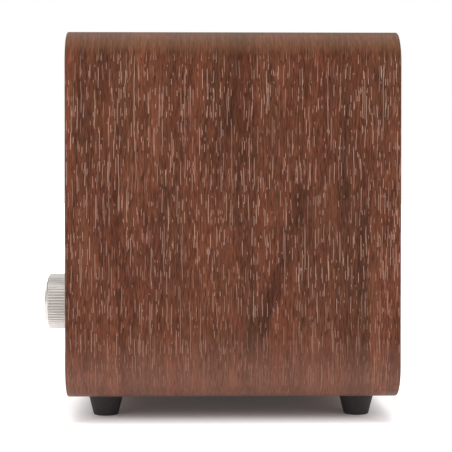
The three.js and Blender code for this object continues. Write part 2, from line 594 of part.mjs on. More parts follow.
// The aerial: a bush riveted to the panel, a fork that swivels on it, and four tubes that slide
function makeAerial() {
  const { x, y, z, length, ear, earHeight, slot, knuckle, pin } = AERIAL;
  const { shank, rivet, rivetHeight, head, disc, discHeight } = AERIAL_BUSH;
  const seat = PANEL.back + AERIAL_BUSH.back;
  const bush = [
    [0, PANEL.front - GAP - rivetHeight],
    [rivet, PANEL.front - GAP - rivetHeight],
    [rivet, PANEL.front - GAP],
    [shank, PANEL.front - GAP],
    [shank, PANEL.back + GAP],
    [head, PANEL.back + GAP],
    [head, seat - GAP],
    [0, seat - GAP],
  ];
  piece("aerial_bush", BRIGHT_METAL, turned(bush, { x, z }));

  const upright = { axis: "z", x, y, z, segments: 12 };
  const fork = joined(
    rod(disc, seat, seat + discHeight, { x, z }),
    block([x - ear, seat + discHeight - 0.7, z - earHeight], [x + ear, y, z + earHeight]),
    rod(ear, -earHeight, earHeight, { ...upright, segments: 20 }),
  );
  const gap = block([x - 8, y - knuckle - GAP, z - slot], [x + 8, y + 8, z + slot]);
  piece("aerial_swivel", BRIGHT_METAL, cut(fork, gap, rod(pin + RUNNING, -5, 5, upright)));
  piece("aerial_pivot_pin", STEEL, rod(pin, -earHeight - GAP, earHeight + GAP, upright));

  // The outermost tube ends in a flat knuckle that fits the fork with a running clearance above and below
  const along = { axis: "x", x, y, z, segments: 16 };
  const [outermost, ...inner] = AERIAL_TUBES;
  const half = slot - 2 * RUNNING;
  const neck = 2.2;
  const plug = 11;
  const first = cut(
    joined(
      rod(knuckle, -half, half, upright),
      block([x, y - neck, z - half], [x + 6, y + neck, z + half]),
      rod(outermost.outer, 5.3, length, along),
    ),
    rod(outermost.inner, plug, length + 1, along),
    rod(pin + RUNNING, -5, 5, upright),
  );
  piece("aerial_section_1", BRIGHT_METAL, first);

  // Each inner tube shows a little at its mouth; the innermost is a solid rod that carries the tip
  const shown = 3;
  inner.forEach((size, i) => {
    const from = plug + 1.5 + i;
    const to = length + shown * (i + 1) + (size.inner ? 0 : AERIAL_TIP.socket);
    const { outer, inner: bore } = size;
    const made = bore ? tube(outer, bore, from, to, along) : rod(outer, from, to, along);
    piece(`aerial_section_${i + 2}`, BRIGHT_METAL, made);
  });
  const start = length + shown * inner.length + GAP;
  const core = inner.at(-1).outer + GAP;
  const { socket: deep, radius, mouth, end } = AERIAL_TIP;
  const tip = [
    [core, start],
    [mouth, start],
    [radius, start + 0.8],
    [radius, start + AERIAL_TIP.length - 1.2],
    [end, start + AERIAL_TIP.length],
    [0, start + AERIAL_TIP.length],
    [0, start + deep],
    [core, start + deep],
    [core, start],
  ];
  piece("aerial_tip", BRIGHT_METAL, turned(tip, along));
}

makeSleeve();
makeBattens();
makeFeet();
makeBaffle();
makeGrille();
makeFascia();
makeDisplay();
makeButtons();
makeControlBoard();
makeEncoder();
makeKnob();
makeSpeakerFrame();
makeSpeakerMotion();
makeMainBoard();
makeJacks();
makeRocker();
makeRearPanel();
makePort();
makeAerial();

radio.position.y = -(KNOB.front + AERIAL_BACK) / 2;

export default radio;
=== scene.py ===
import math

import bpy
import mathutils
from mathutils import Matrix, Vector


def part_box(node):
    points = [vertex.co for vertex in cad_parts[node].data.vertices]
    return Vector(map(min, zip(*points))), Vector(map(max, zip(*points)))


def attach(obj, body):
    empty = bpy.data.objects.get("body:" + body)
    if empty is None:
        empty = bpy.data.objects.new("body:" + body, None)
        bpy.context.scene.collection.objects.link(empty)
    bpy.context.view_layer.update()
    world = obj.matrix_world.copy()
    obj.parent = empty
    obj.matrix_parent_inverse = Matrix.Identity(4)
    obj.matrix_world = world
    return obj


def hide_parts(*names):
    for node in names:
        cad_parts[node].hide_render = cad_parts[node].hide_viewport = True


bl_info = {
    "name": "Tabletop radio",
    "version": (1, 0, 0),
    "blender": (4, 5, 0),
    "location": "View3D > Sidebar > Radio",
    "description": "Builds a walnut-wrapped tabletop radio, piece by piece, round its CAD frame",
    "category": "Object",
}

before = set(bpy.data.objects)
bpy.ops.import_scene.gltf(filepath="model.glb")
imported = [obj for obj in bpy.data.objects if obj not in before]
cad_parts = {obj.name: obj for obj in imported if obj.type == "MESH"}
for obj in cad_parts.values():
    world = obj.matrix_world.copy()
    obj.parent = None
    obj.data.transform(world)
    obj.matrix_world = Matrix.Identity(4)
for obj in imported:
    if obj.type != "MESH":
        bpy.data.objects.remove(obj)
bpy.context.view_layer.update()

MM = 0.001
FRONT_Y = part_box("cabinet_sleeve")[0].y
WRAP = (4 * (130 + 67.5) + 30 * math.pi) * MM  # the way round the cabinet, outside
OUTWARD = {"front": (0, -1, 0), "back": (0, 1, 0), "bottom": (0, 0, -1)}
PANEL = 5 * MM  # thickness of the rear panel
ENCODER_HOLE = 7.25 * MM  # radius, in the fascia behind the knob
NUT_RECESS = (8.5 * MM, 1.5 * MM)  # radius and depth, in the knob's back
SHAFT_BORE = 3.1 * MM  # radius, in the knob
KNOB_WEB = 4.5 * MM  # from the knob's front to the end of its bore


def size_of(node):
    low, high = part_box(node)
    return high - low


def centre_of(node):
    low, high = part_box(node)
    return (low + high) / 2


# Sizes and colours


def as_length(name, description, default):
    return bpy.props.FloatProperty(name=name, description=description, default=default, unit="LENGTH")


def as_angle(name, description, default):
    return bpy.props.FloatProperty(name=name, description=description, default=default, subtype="ANGLE")


def as_number(name, description, default):
    return bpy.props.FloatProperty(name=name, description=description, default=default)


def as_colour(name, description, default):
    return bpy.props.StringProperty(name=name, description=f"{description}, in hex", default=default)


class StageSizes(bpy.types.PropertyGroup):
    distance: as_length("Camera distance", "From the radio's right side", 0.5458)
    behind_front: as_length("Camera depth", "Behind the cabinet's front edge", 0.0545)
    height: as_length("Camera height", "Above the table", 0.1066)
    turn: as_angle("Camera turn", "Towards the back of the radio", math.radians(0.95))
    tip: as_angle("Camera tip", "Downwards", math.radians(0.8))
    lens: as_number("Lens", "Focal length in millimetres", 98.4)
    shift_x: as_number("Shift across", "Share of the picture's width", 0.0385)
    shift_y: as_number("Shift up", "Share of the picture's width", -0.055)
    floor: as_length("Floor radius", "Radius of the pale floor", 6.0)


class CabinetSizes(bpy.types.PropertyGroup):
    corner: as_length("Corner", "Radius of the four long edges", 15 * MM)
    wall: as_length("Wall", "Thickness of the wall", 10 * MM)
    edge: as_length("Edge", "Softening of the front and back edges", 0.7 * MM)
    redder: as_colour("Red walnut", "Redder zones of the film", "623726")
    greyer: as_colour("Grey walnut", "Greyer zones of the film", "5a3626")
    # Flecks: pores of the film, painted pale as glints of light off them
    fleck_glint: as_colour("Flecks", "Pale pores of the film", "c29d8d")


class FootSizes(bpy.types.PropertyGroup):
    bottom: as_length("Bottom", "Radius at the table", 5.65 * MM)
    top: as_length("Top", "Radius under the cabinet", 8.2 * MM)
    rim: as_length("Rim", "Width of the ring that it stands on", 2.2 * MM)
    hollow: as_length("Hollow", "Depth of the hollow underneath", 0.8 * MM)


class KnobSizes(bpy.types.PropertyGroup):
    flutes: bpy.props.IntProperty(name="Flutes", description="Grooves round the knob", default=60, min=12)
    depth: as_length("Groove", "Depth of one flute", 0.55 * MM)
    face: as_length("Face", "Radius of the disc in the front", 9.2 * MM)


class FrontSizes(bpy.types.PropertyGroup):
    corner: as_length("Corner", "Radius of the frame's and the fascia's corners", 4 * MM)
    rim: as_length("Rim", "Width of the cloth's frame", 4 * MM)
    thread: as_length("Thread", "From one thread of the cloth to the next", 1.1 * MM)
    cap_width: as_length("Button width", "Width of a push button", 10 * MM)
    cap_height: as_length("Button height", "Height of a push button", 5 * MM)
    cap_corner: as_length("Button corner", "Radius of a push button's corners", 2.3 * MM)
    clearance: as_length("Clearance", "Round each button and the display", 0.3 * MM)


class BackSizes(bpy.types.PropertyGroup):
    recess: as_length("Recess", "Depth of a screw's cross", 1.1 * MM)
    flare: as_length("Flare", "Rounding at the mouth of the bass port", 1.5 * MM)


# Modelling helpers


def choose_none():
    if bpy.context.mode != "OBJECT":
        bpy.ops.object.mode_set(mode="OBJECT")
    bpy.ops.object.select_all(action="DESELECT")


def activate(piece):
    choose_none()
    piece.select_set(True)
    bpy.context.view_layer.objects.active = piece


def settle():
    """The active piece's place and turn go into its mesh, so that its object sits at the origin."""
    bpy.ops.object.transform_apply(location=True, rotation=True, scale=True)
    return bpy.context.view_layer.objects.active


def edit(piece, kind="FACE"):
    activate(piece)
    bpy.ops.object.mode_set(mode="EDIT")
    bpy.ops.mesh.select_mode(type=kind)
    bpy.ops.mesh.select_all(action="DESELECT")


def pick(piece, test):
    """Selects what passes the test, of the kind that edit mode is set to, and nothing else."""
    vert, edge, _ = bpy.context.tool_settings.mesh_select_mode
    bpy.ops.mesh.select_all(action="DESELECT")
    bpy.ops.object.mode_set(mode="OBJECT")
    mesh = piece.data
    for part in mesh.vertices if vert else mesh.edges if edge else mesh.polygons:
        part.select = bool(test(part))
    bpy.ops.object.mode_set(mode="EDIT")


def facing(direction, at=None, within=0.02 * MM):
    """Test for flat faces that look one way, at one distance along it if that is given."""
    out = mathutils.Vector(OUTWARD[direction])

    def test(face):
        return face.normal.dot(out) > 0.999 and (at is None or abs(face.center.dot(out) - at) < within)

    return test


def along_depth(piece):
    """Test for the edges that run from front to back."""
    mesh = piece.data

    def test(edge):
        a, b = (mesh.vertices[i].co for i in edge.vertices)
        return abs((b - a).normalized().y) > 0.99

    return test


def finish_edit():
    bpy.ops.object.mode_set(mode="OBJECT")


def pull(distance):
    """Extrudes the selected faces along Y, towards the back where the distance is positive."""
    bpy.ops.mesh.extrude_region_move(TRANSFORM_OT_translate={"value": (0, distance, 0)})


def rounded_block(name, width, height, front, back, x, z, corner, segments=8):
    """A block whose four edges from front to back are rounded."""
    choose_none()
    middle, scale = (x, (front + back) / 2, z), (width, back - front, height)
    bpy.ops.mesh.primitive_cube_add(size=1, location=middle, scale=scale)
    piece = settle()
    piece.name = name
    edit(piece, "EDGE")
    pick(piece, along_depth(piece))
    bpy.ops.mesh.bevel(offset=corner, segments=segments, affect="EDGES", clamp_overlap=True)
    finish_edit()
    return piece


def block_like(name, node, corner, segments=8):
    """A rounded block with the size and place of a CAD solid's box."""
    low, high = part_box(node)
    middle, size = (low + high) / 2, high - low
    return rounded_block(name, size.x, size.z, low.y, high.y, middle.x, middle.z, corner, segments)


def round_bar(name, radius, front, back, x, z, vertices=64):
    """A round bar from front to back."""
    choose_none()
    bpy.ops.mesh.primitive_cylinder_add(
        vertices=vertices,
        radius=radius,
        depth=back - front,
        location=(x, (front + back) / 2, z),
        rotation=(math.pi / 2, 0, 0),
    )
    piece = settle()
    piece.name = name
    return piece


def with_modifier(piece, kind, **settings):
    activate(piece)
    modifier = piece.modifiers.new(kind.title(), kind)
    for name, value in settings.items():
        setattr(modifier, name, value)
    bpy.ops.object.modifier_apply(modifier=modifier.name)
    return piece


def combine(piece, tool, operation):
    with_modifier(piece, "BOOLEAN", operation=operation, object=tool, solver="EXACT")
    bpy.data.objects.remove(tool)
    return piece


def cut(piece, *tools):
    for tool in tools:
        combine(piece, tool, "DIFFERENCE")
    return piece


def fuse(piece, *tools):
    for tool in tools:
        combine(piece, tool, "UNION")
    return piece


def soften(piece, width, segments=2, angle=35):
    """Rounds every edge sharper than the angle."""
    return with_modifier(
        piece,
        "BEVEL",
        width=width,
        segments=segments,
        limit_method="ANGLE",
        angle_limit=math.radians(angle),
        use_clamp_overlap=True,
    )


def smooth(piece, angle=35):
    """Smooth shading, in which large flat faces stay flat beside their rounded edges."""
    activate(piece)
    bpy.ops.object.shade_smooth_by_angle(angle=math.radians(angle))
    return with_modifier(piece, "WEIGHTED_NORMAL", weight=100, keep_sharp=True)


def twin_of(node, name):
    """A copy of a CAD node's mesh, welded, with its flat faces whole, ready to have its edges rounded."""
    piece = bpy.data.objects.new(name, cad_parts[node].data.copy())
    bpy.context.scene.collection.objects.link(piece)
    edit(piece, "VERT")
    bpy.ops.mesh.select_all(action="SELECT")
    bpy.ops.mesh.remove_doubles(threshold=0.002 * MM)
    bpy.ops.mesh.dissolve_limited(angle_limit=math.radians(1))
    finish_edit()
    return piece


def copy_of(piece, name, move):
    activate(piece)
    bpy.ops.object.duplicate()
    made = bpy.context.view_layer.objects.active
    made.name = name
    bpy.ops.transform.translate(value=move)
    return settle()


def place(piece, body, slot, material, *nodes):
    """The finished piece gets its material, rides on its body and stands for its CAD nodes."""
    piece.data.materials.clear()
    piece.data.materials.append(material)
    piece.data.polygons.foreach_set("material_index", [0] * len(piece.data.polygons))
    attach(piece, body)
    if nodes:
        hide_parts(*nodes)
    return piece


# Material helpers


def linear(colour):
    """An sRGB hex colour as linear red, green, blue and alpha."""
    channels = [int(colour[i : i + 2], 16) / 255 for i in (0, 2, 4)]
    return [c / 12.92 if c <= 0.04045 else ((c + 0.055) / 1.055) ** 2.4 for c in channels] + [1.0]


def add(tree, kind, inputs=None, **settings):
    """Adds one node: settings are its own, and inputs are values or the sockets that feed it."""
    made = tree.nodes.new(kind)
    for name, value in settings.items():
        setattr(made, name, value)
    for name, value in (inputs or {}).items():
        if isinstance(value, bpy.types.NodeSocket):
            tree.links.new(value, made.inputs[name])
        else:
            made.inputs[name].default_value = value
    return made


def material(name, **surface):
    """A new material, its node tree and its surface shader with the given constants."""
    made = bpy.data.materials.new(name)
    made.use_nodes = True
    tree = made.node_tree
    tree.nodes.clear()
    constants = {name.replace("_", " "): value for name, value in surface.items()}
    shader = add(tree, "ShaderNodeBsdfPrincipled", constants)
    add(tree, "ShaderNodeOutputMaterial", {"Surface": shader.outputs[0]})
    return made, tree, shader


def feed(tree, shader, **sockets):
    for name, socket in sockets.items():
        tree.links.new(socket, shader.inputs[name.replace("_", " ")])


def sums(tree, operation, *values):
    return add(tree, "ShaderNodeMath", dict(enumerate(values)), operation=operation).outputs[0]


def apart(tree, first, second):
    """How far one value is from another, either way."""
    return sums(tree, "ABSOLUTE", sums(tree, "SUBTRACT", first, second))


def blended(tree, amount, first, second, mode="MIX"):
    """Mixes two colours, through the mix node's unnamed colour sockets."""
    made = add(tree, "ShaderNodeMix", {0: amount, 6: first, 7: second}, data_type="RGBA", blend_type=mode)
    return made.outputs[2]


def ramp_up(tree, value, low, high, to=(0.0, 1.0)):
    """A soft step from to[0] to to[1] as the value goes from low to high."""
    inputs = {"Value": value, "From Min": low, "From Max": high, "To Min": to[0], "To Max": to[1]}
    return add(tree, "ShaderNodeMapRange", inputs, interpolation_type="SMOOTHSTEP").outputs[0]


def bumped(tree, height, distance, strength=1.0):
    inputs = {"Height": height, "Distance": distance, "Strength": strength}
    return add(tree, "ShaderNodeBump", inputs).outputs[0]


def here(tree):
    return add(tree, "ShaderNodeTexCoord").outputs["Object"]


def scaled(tree, vector, scale, shift=(0, 0, 0)):
    return add(tree, "ShaderNodeMapping", {"Vector": vector, "Scale": scale, "Location": shift}).outputs[0]


def noise(tree, vector, scale=1.0, detail=2.0, roughness=0.5):
    inputs = {"Vector": vector, "Scale": scale, "Detail": detail, "Roughness": roughness}
    return add(tree, "ShaderNodeTexNoise", inputs).outputs[0]


def grain(tree, vector, across, along, shift=(0, 0), detail=2):
    """Noise whose blotches are about so many millimetres across the grain and along it."""
    cells = scaled(tree, vector, (1 / (across * MM), 1 / (along * MM), 1), (*shift, 0))
    return noise(tree, cells, detail=detail)


def wander(tree, u, field, reach):
    """The distance across the grain, pushed up to half the reach either way by a noise."""
    return sums(tree, "ADD", u, sums(tree, "MULTIPLY", sums(tree, "SUBTRACT", field, 0.5), reach))


# Materials


def flecks(tree, uv, pitch, length, width, share, seed):
    """Short straight strokes along the grain, one to a cell of pitch by length, in a share of the cells."""
    grid = scaled(tree, uv, (1 / pitch, 1 / length, 1), (seed, seed * 1.7, 0))
    cell = add(tree, "ShaderNodeTexVoronoi", {"Vector": grid, "Scale": 1.0}, voronoi_dimensions="2D")
    offset = add(tree, "ShaderNodeVectorMath", {0: grid, 1: cell.outputs["Position"]}, operation="SUBTRACT")
    away = add(tree, "ShaderNodeSeparateXYZ", {0: offset.outputs[0]})
    chance = add(tree, "ShaderNodeSeparateColor", {0: cell.outputs["Color"]})
    half = width / pitch / 2
    across = ramp_up(tree, sums(tree, "ABSOLUTE", away.outputs[0]), half * 0.6, half * 1.3, (1.0, 0.0))
    reach = sums(tree, "MULTIPLY_ADD", chance.outputs[0], 0.4, 0.1)
    past = sums(tree, "SUBTRACT", sums(tree, "ABSOLUTE", away.outputs[1]), reach)
    ends = ramp_up(tree, past, -0.04, 0.02, (1.0, 0.0))
    present = ramp_up(tree, chance.outputs[1], share - 0.02, share + 0.02, (1.0, 0.0))
    strength = sums(tree, "MULTIPLY_ADD", chance.outputs[2], 0.5, 0.5)
    stroke = sums(tree, "MULTIPLY", across, ends)
    return sums(tree, "MULTIPLY", stroke, sums(tree, "MULTIPLY", present, strength))


def figure(tree, u, v, start, end, width):
    """A broad streak in the print from one (depth, way round) point to another, soft on every side."""
    slope = (end[0] - start[0]) / (end[1] - start[1])
    line = sums(tree, "MULTIPLY_ADD", v, slope, start[0] - slope * start[1])
    across = ramp_up(tree, apart(tree, u, line), 0.0, width, (1.0, 0.0))
    rise = ramp_up(tree, v, start[1] - width, start[1] + width)
    fall = ramp_up(tree, v, end[1] - width, end[1] + width, (1.0, 0.0))
    return sums(tree, "MULTIPLY", across, sums(tree, "MULTIPLY", rise, fall))


def walnut_ground(tree, cabinet, u_broad, v, fine_uv, broad_uv, fine):
    """Red-brown and grey-brown zones, darkened and lightened by grain of four widths and by broad figure."""
    zones = grain(tree, broad_uv, 13, 120, (2, 6))
    broad = grain(tree, broad_uv, 17, 190)
    medium = grain(tree, broad_uv, 4.5, 60, (7, 2))
    hair = grain(tree, fine_uv, 0.4, 4, (4, 1), detail=1)
    reddish = ramp_up(tree, zones, 0.35, 0.62)
    ground = blended(tree, reddish, linear(cabinet.greyer), linear(cabinet.redder))
    tone = sums(tree, "MULTIPLY_ADD", broad, 0.7, sums(tree, "MULTIPLY", medium, 0.9))
    tone = sums(tree, "MULTIPLY_ADD", fine, 1.3, sums(tree, "MULTIPLY_ADD", hair, 1.3, tone))
    tone = ramp_up(tree, tone, 1.55, 2.65, (0.4, 1.45))

    # On the right side dark streaks, one upright, one that leans and one faint, with paler bands beside them,
    # and one long dark streak on the left side. Each has two ends (depth, way round) and a width, in mm, and
    # the share by which it lightens the print.
    for start, end, width, change in [
        ((74, 256), (74, 330), 7, -0.4),
        ((80, 160), (107, 236), 7, -0.42),
        ((125, 150), (124, 300), 9, -0.06),
        ((33, 235), (33, 330), 13, 0.16),
        ((67, 120), (66, 188), 12, 0.2),
        ((140, 120), (140, 205), 11, 0.2),
        ((60, 560), (75, 740), 13, -0.32),
    ]:
        ends = [[distance * MM for distance in point] for point in (start, end)]
        streak = figure(tree, u_broad, v, *ends, width * MM)
        tone = sums(tree, "MULTIPLY", tone, sums(tree, "MULTIPLY_ADD", streak, change, 1.0))
    grey = add(tree, "ShaderNodeCombineColor", {0: tone, 1: tone, 2: tone}).outputs[0]
    return blended(tree, 1.0, ground, grey, "MULTIPLY")


def walnut_fleck_glints(tree, uv, fine_uv, from_top):
    """Pale flecks in four sizes, painted glints of light off the film's embossed pores, that thin out in
    patches, round the long edges and low on the sides.
    """
    patch = ramp_up(tree, grain(tree, uv, 14, 35, (5, 5)), 0.3, 0.55)
    longest = flecks(tree, fine_uv, 4.2 * MM, 34 * MM, 0.32 * MM, 0.35, 21.3)
    fleck_glints = sums(tree, "MULTIPLY", longest, 0.85)
    for pitch, length, width, share, seed in [
        (2.0, 15, 0.28, 0.48, 3.1),
        (1.4, 8, 0.25, 0.36, 8.7),
        (1.1, 3.6, 0.25, 0.16, 14.9),
    ]:
        layer = flecks(tree, fine_uv, pitch * MM, length * MM, width * MM, share, seed)
        fleck_glints = sums(tree, "MAXIMUM", fleck_glints, layer)
    fleck_glints = sums(tree, "MULTIPLY", fleck_glints, sums(tree, "MULTIPLY_ADD", patch, 0.55, 0.45))

    # How strong the painted glints are at each distance from the middle of the top, in mm on the way round
    fading = add(tree, "ShaderNodeValToRGB", {0: sums(tree, "MULTIPLY", from_top, 2 / WRAP)})
    ramp = fading.color_ramp
    ramp.elements.remove(ramp.elements[1])
    ramp.elements[0].color = (0.85, 0.85, 0.85, 1)
    over_the_top = [(126, 0.7), (134, 0.1), (148, 0.12), (153, 1)]
    down_the_side = [(238, 1), (262, 0.85), (286, 0.5), (298, 0.25), (312, 0.15), (340, 0.5)]
    for distance, strength in over_the_top + down_the_side:
        stop = ramp.elements.new(distance * MM * 2 / WRAP)
        stop.color = (strength, strength, strength, 1)
    return sums(tree, "MULTIPLY", fleck_glints, fading.outputs[0])


def walnut_film(cabinet):
    # Walnut-effect vinyl film, printed and embossed, wrapped round fibreboard. The eye gets a red-brown
    # ground with fine grain that runs round the cabinet, broad darker figure, and short pale flecks: pores of
    # the embossed film, painted pale as glints of light off them.
    made, tree, shader = material("walnut_effect_vinyl_film", Roughness=0.42, Specular_IOR_Level=0.09)
    uv = add(tree, "ShaderNodeUVMap", uv_map="wrap").outputs[0]
    split = add(tree, "ShaderNodeSeparateXYZ", {0: uv})
    u, v = split.outputs[0], split.outputs[1]
    u_fine = wander(tree, u, grain(tree, uv, 9, 11, detail=1), 0.9 * MM)
    u_broad = wander(tree, u_fine, grain(tree, uv, 60, 90, (3, 5), detail=1), 16 * MM)
    fine_uv = add(tree, "ShaderNodeCombineXYZ", {0: u_fine, 1: v}).outputs[0]
    broad_uv = add(tree, "ShaderNodeCombineXYZ", {0: u_broad, 1: v}).outputs[0]
    fine = grain(tree, fine_uv, 0.7, 9, (1, 9), detail=3)
    colour = walnut_ground(tree, cabinet, u_broad, v, fine_uv, broad_uv, fine)

    # Narrow dark pores between the flecks
    dark = ramp_up(tree, grain(tree, fine_uv, 0.6, 16, (11, 4)), 0.52, 0.68)
    colour = blended(tree, sums(tree, "MULTIPLY", dark, 0.55), colour, linear("3a2014"))

    # A painted highlight turns the print tan over the upper edges, and painted bounce light from the floor
    # makes it paler and pinker over the lower ones
    from_top = apart(tree, v, WRAP / 2)
    top_edge_highlight = ramp_up(tree, from_top, 145 * MM, 151 * MM, (0.3, 0.0))
    top_edge_highlight = sums(tree, "ADD", top_edge_highlight, ramp_up(tree, from_top, 131 * MM, 138 * MM, (0.12, 0.0)))
    colour = blended(tree, top_edge_highlight, colour, linear("7d5a3f"))
    # Painted bounce light from the floor, low on the sides and over the lower edges
    floor_bounce_light = ramp_up(tree, from_top, 270 * MM, 298 * MM, (0.0, 0.19))
    floor_bounce_light = sums(tree, "ADD", floor_bounce_light, ramp_up(tree, from_top, 300 * MM, 312 * MM, (0.0, 0.08)))
    colour = blended(tree, floor_bounce_light, colour, linear("a47c6e"))

    fleck_glints = walnut_fleck_glints(tree, uv, fine_uv, from_top)
    pale = blended(tree, 0.3, linear(cabinet.fleck_glint), colour)
    colour = blended(tree, sums(tree, "MULTIPLY", fleck_glints, 0.95), colour, pale)
    height = sums(tree, "MULTIPLY_ADD", fine, 0.4, sums(tree, "MULTIPLY", fleck_glints, -0.6))
    feed(tree, shader, Base_Color=colour, Normal=bumped(tree, height, 0.1 * MM, 0.5))
    return made


def moulded_plastic(name, colour, roughness, pit_depth):
    # Injection-moulded ABS. A spark-eroded mould gives the eye an even, fine, dull grain, and a polished one
    # hardly any.
    made, tree, shader = material(name, Roughness=roughness, Specular_IOR_Level=0.35)
    pits = noise(tree, here(tree), 1 / (0.5 * MM))
    clouds = noise(tree, here(tree), 1 / (40 * MM))
    dark = linear(colour)
    light = [channel * 1.35 for channel in dark[:3]] + [1]
    shade = blended(tree, ramp_up(tree, clouds, 0.3, 0.7), dark, light)
    feed(tree, shader, Base_Color=shade, Normal=bumped(tree, pits, pit_depth, 0.5))
    return made


def speaker_cloth(front):
    # Woven acoustic cloth of matt polyester yarn. The eye gets a plain over-and-under weave in two greys;
    # the real threads are about half a millimetre apart, and are drawn twice as coarse so that they show.
    matt = {"Roughness": 0.95, "Sheen_Weight": 0.3, "Sheen_Roughness": 0.5}
    made, tree, shader = material("woven_speaker_cloth", **matt)
    turn = math.pi / front.thread
    split = add(tree, "ShaderNodeSeparateXYZ", {0: here(tree)})
    waves = [sums(tree, "SINE", sums(tree, "MULTIPLY", split.outputs[i], turn)) for i in (0, 2)]
    warp, weft = (sums(tree, "ABSOLUTE", wave) for wave in waves)
    over = ramp_up(tree, sums(tree, "MULTIPLY", *waves), -0.12, 0.12)
    under = sums(tree, "SUBTRACT", 1.0, over)
    height = sums(tree, "ADD", sums(tree, "MULTIPLY", warp, over), sums(tree, "MULTIPLY", weft, under))
    yarn = blended(tree, over, linear("3c3a39"), linear("2c2b2b"))
    fuzz = noise(tree, here(tree), 1 / (0.7 * MM), detail=3)
    # Painted shade: the yarn is painted lighter on the raised threads and darker in the hollows of the weave,
    # broken up at random by fuzz
    light = sums(tree, "MULTIPLY_ADD", height, 0.75, sums(tree, "MULTIPLY", fuzz, 0.5))
    shade = blended(tree, light, [0.15, 0.15, 0.15, 1], [1.5, 1.5, 1.5, 1])
    colour = blended(tree, 1.0, yarn, shade, "MULTIPLY")
    feed(tree, shader, Base_Color=colour, Normal=bumped(tree, height, 0.3 * MM, 0.8))
    return made


def smoked_acrylic():
    # Cast acrylic sheet, smoke tinted and polished: deep gloss, with the display faint behind it.
    made, tree, shader = material("smoked_acrylic_window", Roughness=0.04, IOR=1.49, Transmission_Weight=0.85)
    dust = noise(tree, here(tree), 1 / (6 * MM), detail=3)
    feed(tree, shader, Base_Color=blended(tree, dust, linear("70767c"), linear("7c8288")))
    return made


def satin_aluminium(name, axis_x=None, axis_z=None):
    # Turned aluminium, bead blasted and clear anodised: a soft silver with a broad highlight.
    # A face that is turned on the lathe shows fine rings round its axis.
    made, tree, shader = material(name, Metallic=1.0, Roughness=0.45)
    spot = noise(tree, here(tree), 1 / (0.35 * MM))
    colour = blended(tree, spot, linear("cec8c4"), linear("ded9d5"))
    height, deep = spot, 0.015 * MM
    if axis_x is not None:
        centred = scaled(tree, here(tree), (1, 0, 1), (-axis_x, 0, -axis_z))
        away = add(tree, "ShaderNodeVectorMath", {0: centred}, operation="LENGTH").outputs["Value"]
        height = sums(tree, "SINE", sums(tree, "MULTIPLY", away, math.tau / (0.35 * MM)))
        deep = 0.01 * MM
    feed(tree, shader, Base_Color=colour, Normal=bumped(tree, height, deep, 0.6))
    return made


def plated(name, dark, light, roughness):
    # Electroplated metal: a mirror or satin plate with faint cloudiness from handling and polishing.
    made, tree, shader = material(name, Metallic=1.0)
    clouds = noise(tree, here(tree), 1 / (9 * MM), detail=4)
    colour = blended(tree, clouds, linear(dark), linear(light))
    cloudy = ramp_up(tree, clouds, 0.25, 0.75, (roughness * 0.7, roughness * 1.4))
    feed(tree, shader, Base_Color=colour, Roughness=cloudy)
    return made


def moulded_rubber():
    # Compression-moulded rubber: dull dark grey-brown, with a fine dusty bloom.
    made, tree, shader = material("moulded_rubber", Roughness=0.75, Specular_IOR_Level=0.35)
    bloom = noise(tree, here(tree), 1 / (2.5 * MM), detail=4)
    pits = noise(tree, here(tree), 1 / (0.4 * MM))
    colour = blended(tree, bloom, linear("2a2625"), linear("3e3938"))
    feed(tree, shader, Base_Color=colour, Normal=bumped(tree, pits, 0.05 * MM, 0.6))
    return made


def planed_pine():
    # Planed pine: pale yellow wood with darker late-wood lines along the batten.
    made, tree, shader = material("planed_pine", Roughness=0.7)
    lines = noise(tree, scaled(tree, here(tree), (1 / (2.2 * MM), 1 / (2.2 * MM), 1 / (60 * MM))), detail=3)
    late = ramp_up(tree, lines, 0.4, 0.65)
    feed(tree, shader, Base_Color=blended(tree, late, linear("d3b07c"), linear("a9783f")))
    return made


def circuit_laminate():
    # Glass-epoxy laminate under green solder mask: glossy green, with copper tracks showing lighter.
    made, tree, shader = material("circuit_board_laminate", Roughness=0.3)
    inputs = {"Color1": linear("17512f"), "Color2": linear("1b5c36"), "Mortar": linear("2f7d4c")}
    inputs["Vector"] = scaled(tree, here(tree), (140, 1, 140))
    feed(tree, shader, Base_Color=add(tree, "ShaderNodeTexBrick", inputs, offset=0.3).outputs[0])
    return made


def pressed_paper(name, dark, light):
    # Pressed pulp or resin-dipped cloth: matt and fibrous.
    made, tree, shader = material(name, Roughness=0.9)
    fibres = noise(tree, here(tree), 1 / (1.2 * MM), detail=5, roughness=0.7)
    colour = blended(tree, fibres, linear(dark), linear(light))
    feed(tree, shader, Base_Color=colour, Normal=bumped(tree, fibres, 0.1 * MM, 0.5))
    return made


def sintered_ferrite():
    # Sintered ferrite: charcoal ceramic with a fine granular break-up and small pale chips.
    made, tree, shader = material("sintered_ferrite", Roughness=0.6)
    grit = noise(tree, here(tree), 1 / (0.6 * MM), detail=4)
    feed(tree, shader, Base_Color=blended(tree, grit, linear("2c2c2e"), linear("4a4a4c")))
    return made


def wound_copper():
    # Enamelled copper wire, wound in one layer: orange metal in fine rings along the coil.
    made, tree, shader = material("wound_enamelled_copper", Metallic=1.0, Roughness=0.3)
    depth = add(tree, "ShaderNodeSeparateXYZ", {0: here(tree)}).outputs[1]
    turns = sums(tree, "SINE", sums(tree, "MULTIPLY", depth, math.tau / (0.25 * MM)))
    # Painted shade: the copper is painted darker in the grooves between the turns and lighter on their crests
    colour = blended(tree, ramp_up(tree, turns, -1.0, 1.0), linear("7e431f"), linear("c98050"))
    feed(tree, shader, Base_Color=colour, Normal=bumped(tree, turns, 0.05 * MM, 0.7))
    return made


